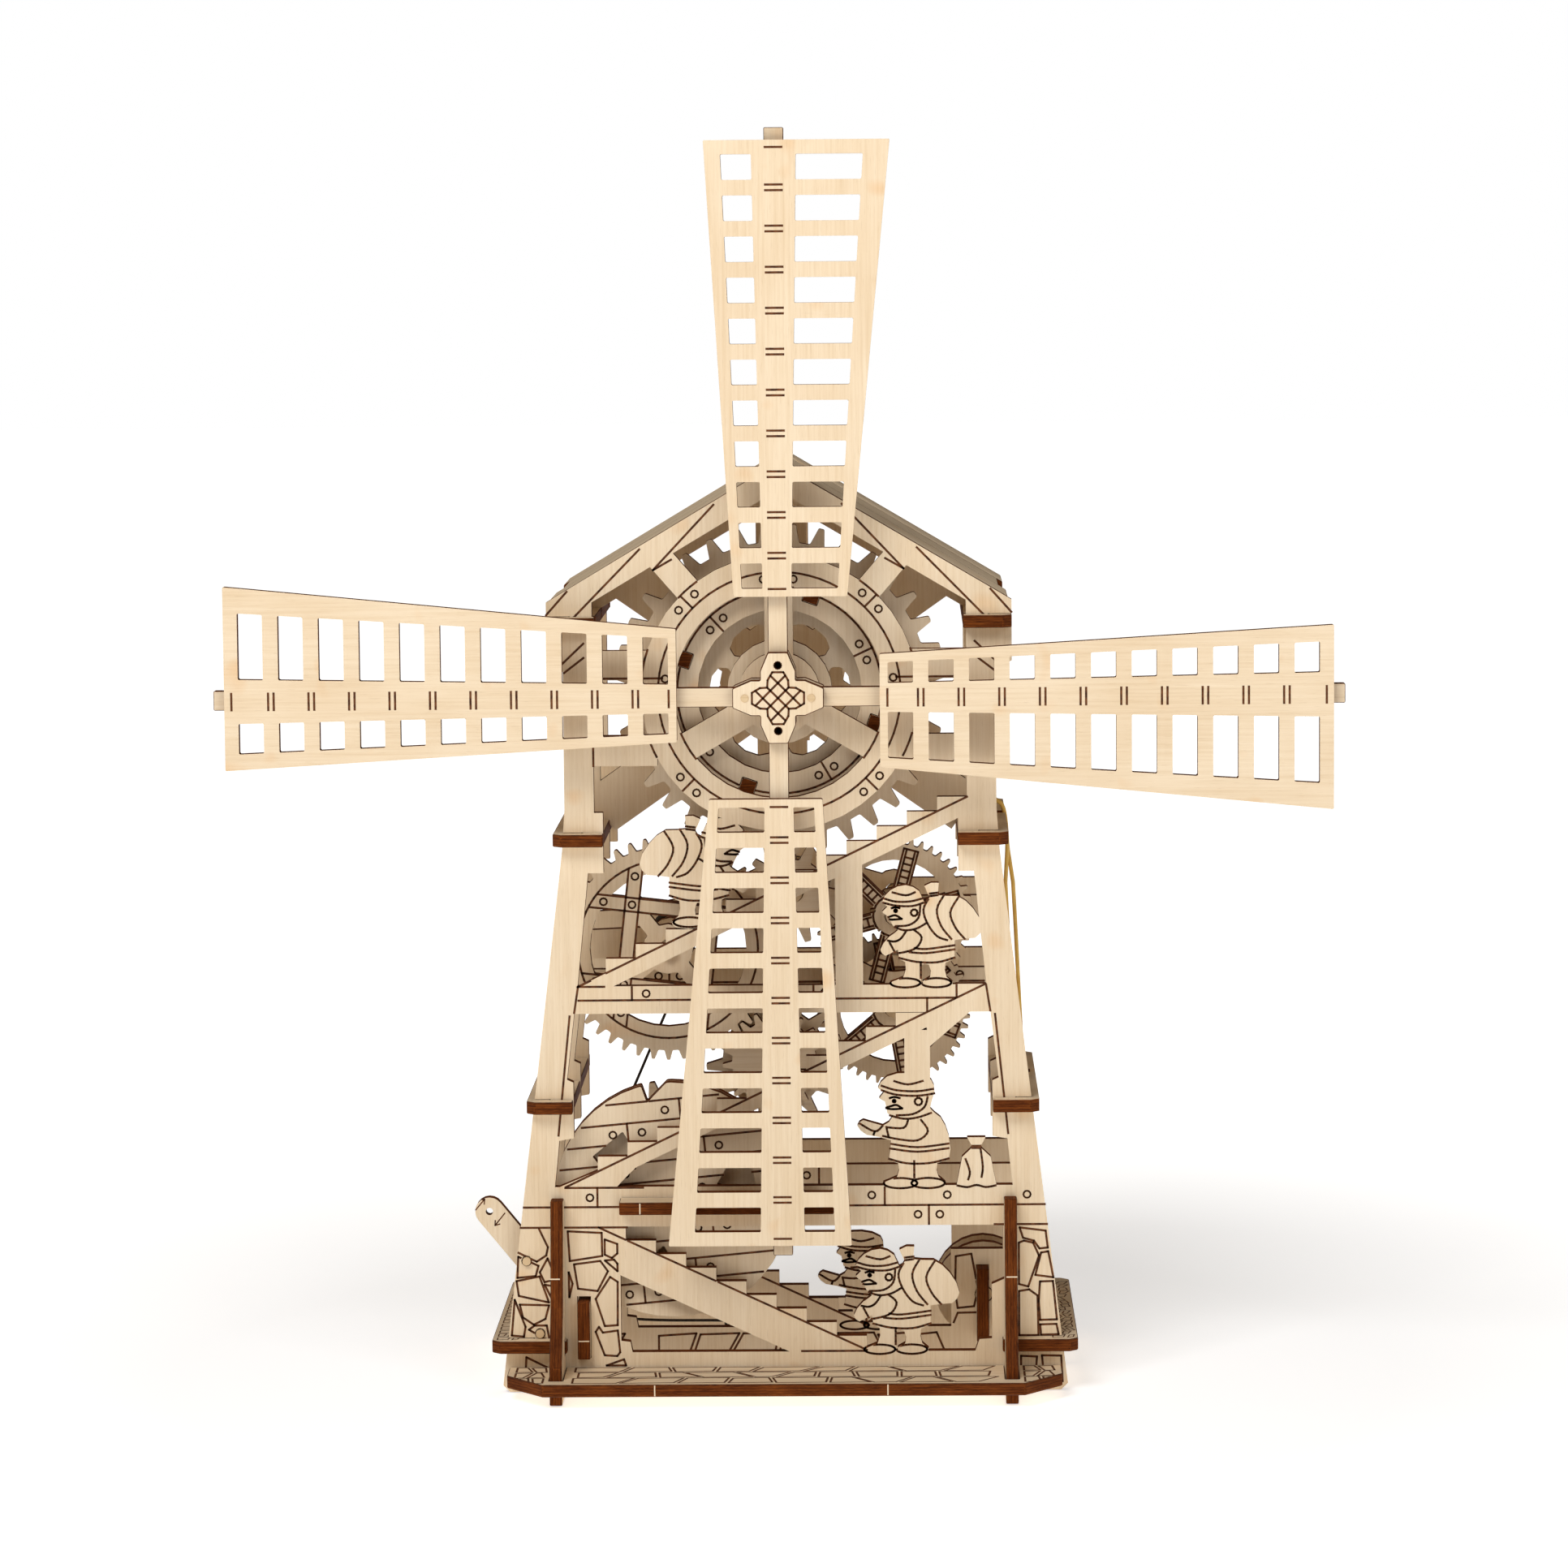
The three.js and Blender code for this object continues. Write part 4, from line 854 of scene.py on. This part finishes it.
def add_peg(name, middle, front, back, body, radius):
    """A short round peg along Y with softened ends."""
    bm = bmesh.new()
    turn = Matrix.Rotation(math.pi / 2, 4, "X")
    place = Matrix.Translation((middle.x, (front + back) / 2, middle.z))
    bmesh.ops.create_cone(bm, cap_ends=True, segments=24, radius1=radius, radius2=radius, depth=back - front,
                          matrix=place @ turn)
    ends = [edge for edge in bm.edges if abs(edge.verts[0].co.y - edge.verts[1].co.y) < 1e-7]
    bmesh.ops.bevel(bm, geom=ends, offset=0.15 * MM, segments=2, profile=0.5, affect="EDGES")
    layer = bm.loops.layers.uv.verify()
    for face in bm.faces:
        for loop in face.loops:
            loop[layer].uv = (loop.vert.co.x / MM, loop.vert.co.z / MM)
    mesh = bpy.data.meshes.new(name)
    bm.to_mesh(mesh)
    bm.free()
    mesh.materials.append(DOWEL)
    new_piece(name, mesh, body)


def engrave_sails():
    """Two short marks across the middle stile at every rung, and one at each end."""
    for i in range(4):
        angle = math.radians(90 * i)
        node = f"sail_{i + 1}"
        right = Vector((math.cos(angle), 0, -math.sin(angle)))
        up = Vector((math.sin(angle), 0, math.cos(angle)))
        drawing = Engraving(node + "_marks", node, (HUB.x, front_of(node), HUB.z), right, up)
        for row in range(1, 11):
            rung = 128.4 - 9.5 * row
            for r in (rung - 0.65, rung + 0.65):
                drawing.line((-2.0, r), (2.0, r))
        for r in (128.2, 25.6):
            drawing.line((-2.0, r), (2.0, r))
        drawing.finish()


def engrave_brake_wheel():
    drawing = on_front("brake_wheel", middle=HUB)
    drawing.arc((0, 0), 24.3, count=72)
    for angle in (132.5, 25, 300, 215):
        drawing.spoke((0, 0), angle, 19.6, 24.3)
        drawing.nail_at((0, 0), 22.0, angle - 5.5)
        drawing.nail_at((0, 0), 22.0, angle + 5.5)
    drawing.finish()


def engrave_winding_gear():
    """The planks of the wheel run on over its rim and are nailed at their ends and crossings."""
    middle = centre("winding_shaft")
    drawing = on_front("winding_gear", middle=middle)
    drawing.arc((0, 0), 21.6, count=72)
    for i in range(4):
        angle = -6.5 + 90 * i
        c, s = math.cos(math.radians(angle)), math.sin(math.radians(angle))

        def at(across, along):
            return (across * c - along * s, across * s + along * c)

        for edge in (8.05, 11.35):
            reach = math.sqrt(21.4 ** 2 - edge ** 2)
            drawing.line(at(edge, -reach), at(edge, reach))
        for along in (-16.6, -9.7, 16.6):
            drawing.nail(at(9.7, along))
    drawing.finish()


def engrave_ladder_gear(node, shaft, turn):
    """Each spoke of the gear is drawn as a small ladder."""
    middle = centre(shaft)
    drawing = on_front(node, middle=middle)
    drawing.arc((0, 0), 5.0, count=24)
    for i in range(6):
        angle = turn + 60 * i
        for aside in (-1.75, -1.05, 1.05, 1.75):
            drawing.spoke((0, 0), angle, 5.4, 16.4, aside)
        c, s = math.cos(math.radians(angle)), math.sin(math.radians(angle))
        for r in (6.4, 8.0, 9.6, 11.2, 12.8, 14.4, 16.4):
            half = 1.75 if r > 16 else 1.05
            drawing.line((r * c + half * s, r * s - half * c), (r * c - half * s, r * s + half * c))
    drawing.finish()


def engrave_stop_wheel():
    middle = centre("stop_gear_shaft")
    drawing = on_front("stop_wheel_front", middle=middle)
    tilt = math.radians(5.3)
    c, s = math.cos(tilt), math.sin(tilt)
    levels = [-24.3 + 4.86 * i for i in range(11)]
    for i, level in enumerate(levels):
        reach = math.sqrt(27.8 ** 2 - level ** 2)
        drawing.line((-reach * c - level * s, -reach * s + level * c), (reach * c - level * s, reach * s + level * c))
        if i < 10:
            x = (-9.0, 4.0, -14.0, 9.0)[i % 4]
            bottom, top = (x * c - level * s, x * s + level * c), (x * c - (level + 4.86) * s, x * s + (level + 4.86) * c)
            drawing.line(bottom, top)
            for aside in (-3.6, 3.4):
                drawing.nail(((x + aside) * c - (level + 2.4) * s, (x + aside) * s + (level + 2.4) * c))
    drawing.finish()


def engrave_lever():
    drawing = on_front("stop_lever")
    for tail, head in (((-67.0, 42.6), (-69.4, 39.6)), ((-74.0, 43.4), (-71.8, 46.0))):
        along = (Vector(head) - Vector(tail)).normalized()
        side = Vector((-along.y, along.x))
        drawing.line(tail, head, width=0.3 * MM)
        for turn in (-1, 1):
            drawing.line(tuple(Vector(head) - along * 1.0 + side * 0.7 * turn), head, width=0.3 * MM)
    drawing.finish()


def engrave_deck():
    drawing = on_top("front_deck")
    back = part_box("front_deck")[1][1] / MM
    levels = [back - 0.8, back - 6.8, back - 13.2, back - 19.8]
    for row, (high, low) in enumerate(zip(levels, levels[1:])):
        stone_row(drawing, -50.5 + row % 2, 50.5, low + 0.8, high, 10.5, row)
        for side in (-1, 1):
            stone_row(drawing, side * 60.5 - 4.0, side * 60.5 + 4.0, low + 0.7, high, 4.5, row + 7)
    drawing.finish()


def engrave_ledges():
    """Rows of little stones on the ends of the base ledges."""
    for side, name in ((-1, "left"), (1, "right")):
        node = "base_ledge_" + name
        drawing = Engraving(node + "_stones", node, (0, 0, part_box(node)[1][2]), X, Y, width=0.3 * MM)
        low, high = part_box(node)[0][1] / MM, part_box(node)[1][1] / MM
        steps = int((high - low - 4) / 4.2)
        for i in range(steps):
            y = low + 2.2 + 4.2 * i
            stone_row(drawing, side * 66.4 - 2.9, side * 66.4 + 3.1, y, y + 3.3, 3.0, i + 20)
        drawing.finish()


def add_ticks():
    """Pale nicks where the sheets were held in their frame."""
    bm = bmesh.new()
    low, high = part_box("front_deck")
    for x in (-30.4, 24.6):
        add_block(bm, (x * MM - 0.15 * MM, low[1] - LINE_HEIGHT, low[2] + 0.2 * MM),
                  (x * MM + 0.15 * MM, low[1] + LINE_HEIGHT, high[2] - 0.2 * MM))
    low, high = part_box("front_shelf")
    add_block(bm, (-34.2 * MM, low[1] - LINE_HEIGHT, low[2] + 0.2 * MM),
              (-33.9 * MM, low[1] + LINE_HEIGHT, high[2] - 0.2 * MM))
    low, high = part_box("front_bracket")
    add_block(bm, (low[0] + 0.2 * MM, low[1] - LINE_HEIGHT, 12.6 * MM),
              (high[0] - 0.2 * MM, low[1] + LINE_HEIGHT, 12.9 * MM))
    for side in ("left", "right"):
        low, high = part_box("front_fin_" + side)
        add_block(bm, (low[0] + 0.2 * MM, low[1] - LINE_HEIGHT, 30.3 * MM),
                  (high[0] - 0.2 * MM, low[1] + LINE_HEIGHT, 30.6 * MM))
    mesh = bpy.data.meshes.new("frame_nicks")
    bm.to_mesh(mesh)
    bm.free()
    mesh.materials.append(FACE)
    new_piece("frame_nicks", mesh, "tower")


TENON_ANGLES = (71, 161, 251, 341)
TENON_REACH = 24 * MM           # from the sail axis to the middle of a tenon


def add_tenon_ends():
    """The burnt ends of the four tenons that join the brake wheel to the gear behind it."""
    front = front_of("sail_gear")
    bm = bmesh.new()
    for angle in TENON_ANGLES:
        c, s = math.cos(math.radians(angle)), math.sin(math.radians(angle))
        place = Vector((HUB.x + TENON_REACH * c, front, HUB.z + TENON_REACH * s))
        turn = Matrix(((c, 0, -s), (0, 1, 0), (s, 0, c))).to_4x4()
        bmesh.ops.create_cube(bm, size=1, matrix=Matrix.Translation(place) @ turn
                              @ Matrix.Diagonal((3.5 * MM, 0.06 * MM, 3.5 * MM, 1)))
    layer = bm.loops.layers.uv.verify()
    for face in bm.faces:
        for loop in face.loops:
            loop[layer].uv = (loop.vert.co.x / MM, loop.vert.co.z / MM)
    mesh = bpy.data.meshes.new("tenon_ends")
    bm.to_mesh(mesh)
    bm.free()
    mesh.materials.append(EDGE)
    new_piece("tenon_ends", mesh, "sail_rotor")


def engrave_all():
    engrave_front_panel()
    engrave_middle_panel()
    engrave_hub()
    engrave_sails()
    engrave_brake_wheel()
    engrave_winding_gear()
    engrave_ladder_gear("right_gear", "right_pinion_shaft", 15)
    engrave_ladder_gear("lower_gear", "lower_shaft", 40)
    engrave_stop_wheel()
    engrave_lever()
    engrave_deck()
    engrave_ledges()
    add_ticks()
    add_tenon_ends()


engrave_all()
add_thread()
add_band()


# ---------- floor, lights and camera ----------
def add_floor():
    """A wide pale floor; its glow grows away from the model, so that it runs into the pale background."""
    material, tree, shader = new_material("floor_white", 0.95)
    shader.inputs["Base Color"].default_value = (0.9, 0.9, 0.9, 1)
    shader.inputs["Emission Color"].default_value = (1, 1, 1, 1)
    place = add_node(tree, "ShaderNodeNewGeometry")
    reach = add_node(tree, "ShaderNodeVectorMath", operation="LENGTH")
    glow = add_node(tree, "ShaderNodeMapRange", **{"From Min": 0.15, "From Max": 0.5, "To Min": 0.55, "To Max": 1.0})
    tree.links.new(place.outputs["Position"], reach.inputs[0])
    tree.links.new(reach.outputs["Value"], glow.inputs["Value"])
    tree.links.new(glow.outputs["Result"], shader.inputs["Emission Strength"])
    ground = CAD_BOX[0][2] - 0.0002
    mesh = bpy.data.meshes.new("floor")
    mesh.from_pydata([(x, y, ground) for x, y in ((-6, -6), (6, -6), (6, 6), (-6, 6))], [], [(0, 1, 2, 3)])
    mesh.materials.append(material)
    floor = bpy.data.objects.new("floor", mesh)
    bpy.context.scene.collection.objects.link(floor)


def add_light(name, place, target, size, power, colour=(1, 1, 1)):
    data = bpy.data.lights.new(name, "AREA")
    data.size = size
    data.energy = power
    data.color = colour
    lamp = bpy.data.objects.new(name, data)
    lamp.location = place
    lamp.rotation_euler = (Vector(target) - Vector(place)).to_track_quat("-Z", "Y").to_euler()
    bpy.context.scene.collection.objects.link(lamp)


def add_studio():
    world = bpy.data.worlds.new("studio")
    world.use_nodes = True
    tree = world.node_tree
    tree.nodes.clear()
    seen = add_node(tree, "ShaderNodeBackground", Strength=1.0, Color=(1, 1, 1, 1))
    ambient = add_node(tree, "ShaderNodeBackground", Strength=0.10, Color=(1.0, 0.80, 0.58, 1))
    path = add_node(tree, "ShaderNodeLightPath")
    either = add_node(tree, "ShaderNodeMixShader")
    output = add_node(tree, "ShaderNodeOutputWorld")
    tree.links.new(path.outputs["Is Camera Ray"], either.inputs["Fac"])
    tree.links.new(ambient.outputs["Background"], either.inputs[1])
    tree.links.new(seen.outputs["Background"], either.inputs[2])
    tree.links.new(either.outputs["Shader"], output.inputs["Surface"])
    bpy.context.scene.world = world
    aim = (0, 0, 0.13)
    add_light("key", (-0.55, -1.2, 1.35), aim, 0.8, 16.5)
    add_light("fill", (0.8, -1.3, 0.9), aim, 0.8, 5.5, (0.93, 0.96, 1.0))


def add_camera():
    azimuth, elevation, roll = math.radians(1.20), math.radians(5.82), math.radians(-0.512)
    distance = 1.3459
    look = Vector((0.00094, TOWER_FRONT, 0.14599))
    back = Vector((math.sin(azimuth) * math.cos(elevation), -math.cos(azimuth) * math.cos(elevation),
                   math.sin(elevation)))
    data = bpy.data.cameras.new("camera")
    data.sensor_width = 36.0
    data.lens = 130.48
    camera = bpy.data.objects.new("camera", data)
    camera.location = look + back * distance
    turn = back.to_track_quat("Z", "Y").to_matrix() @ Matrix.Rotation(roll, 3, "Z")
    camera.rotation_euler = turn.to_euler()
    bpy.context.scene.collection.objects.link(camera)
    bpy.context.scene.camera = camera


add_floor()
add_studio()
add_camera()
bpy.context.scene.view_settings.view_transform = "Standard"
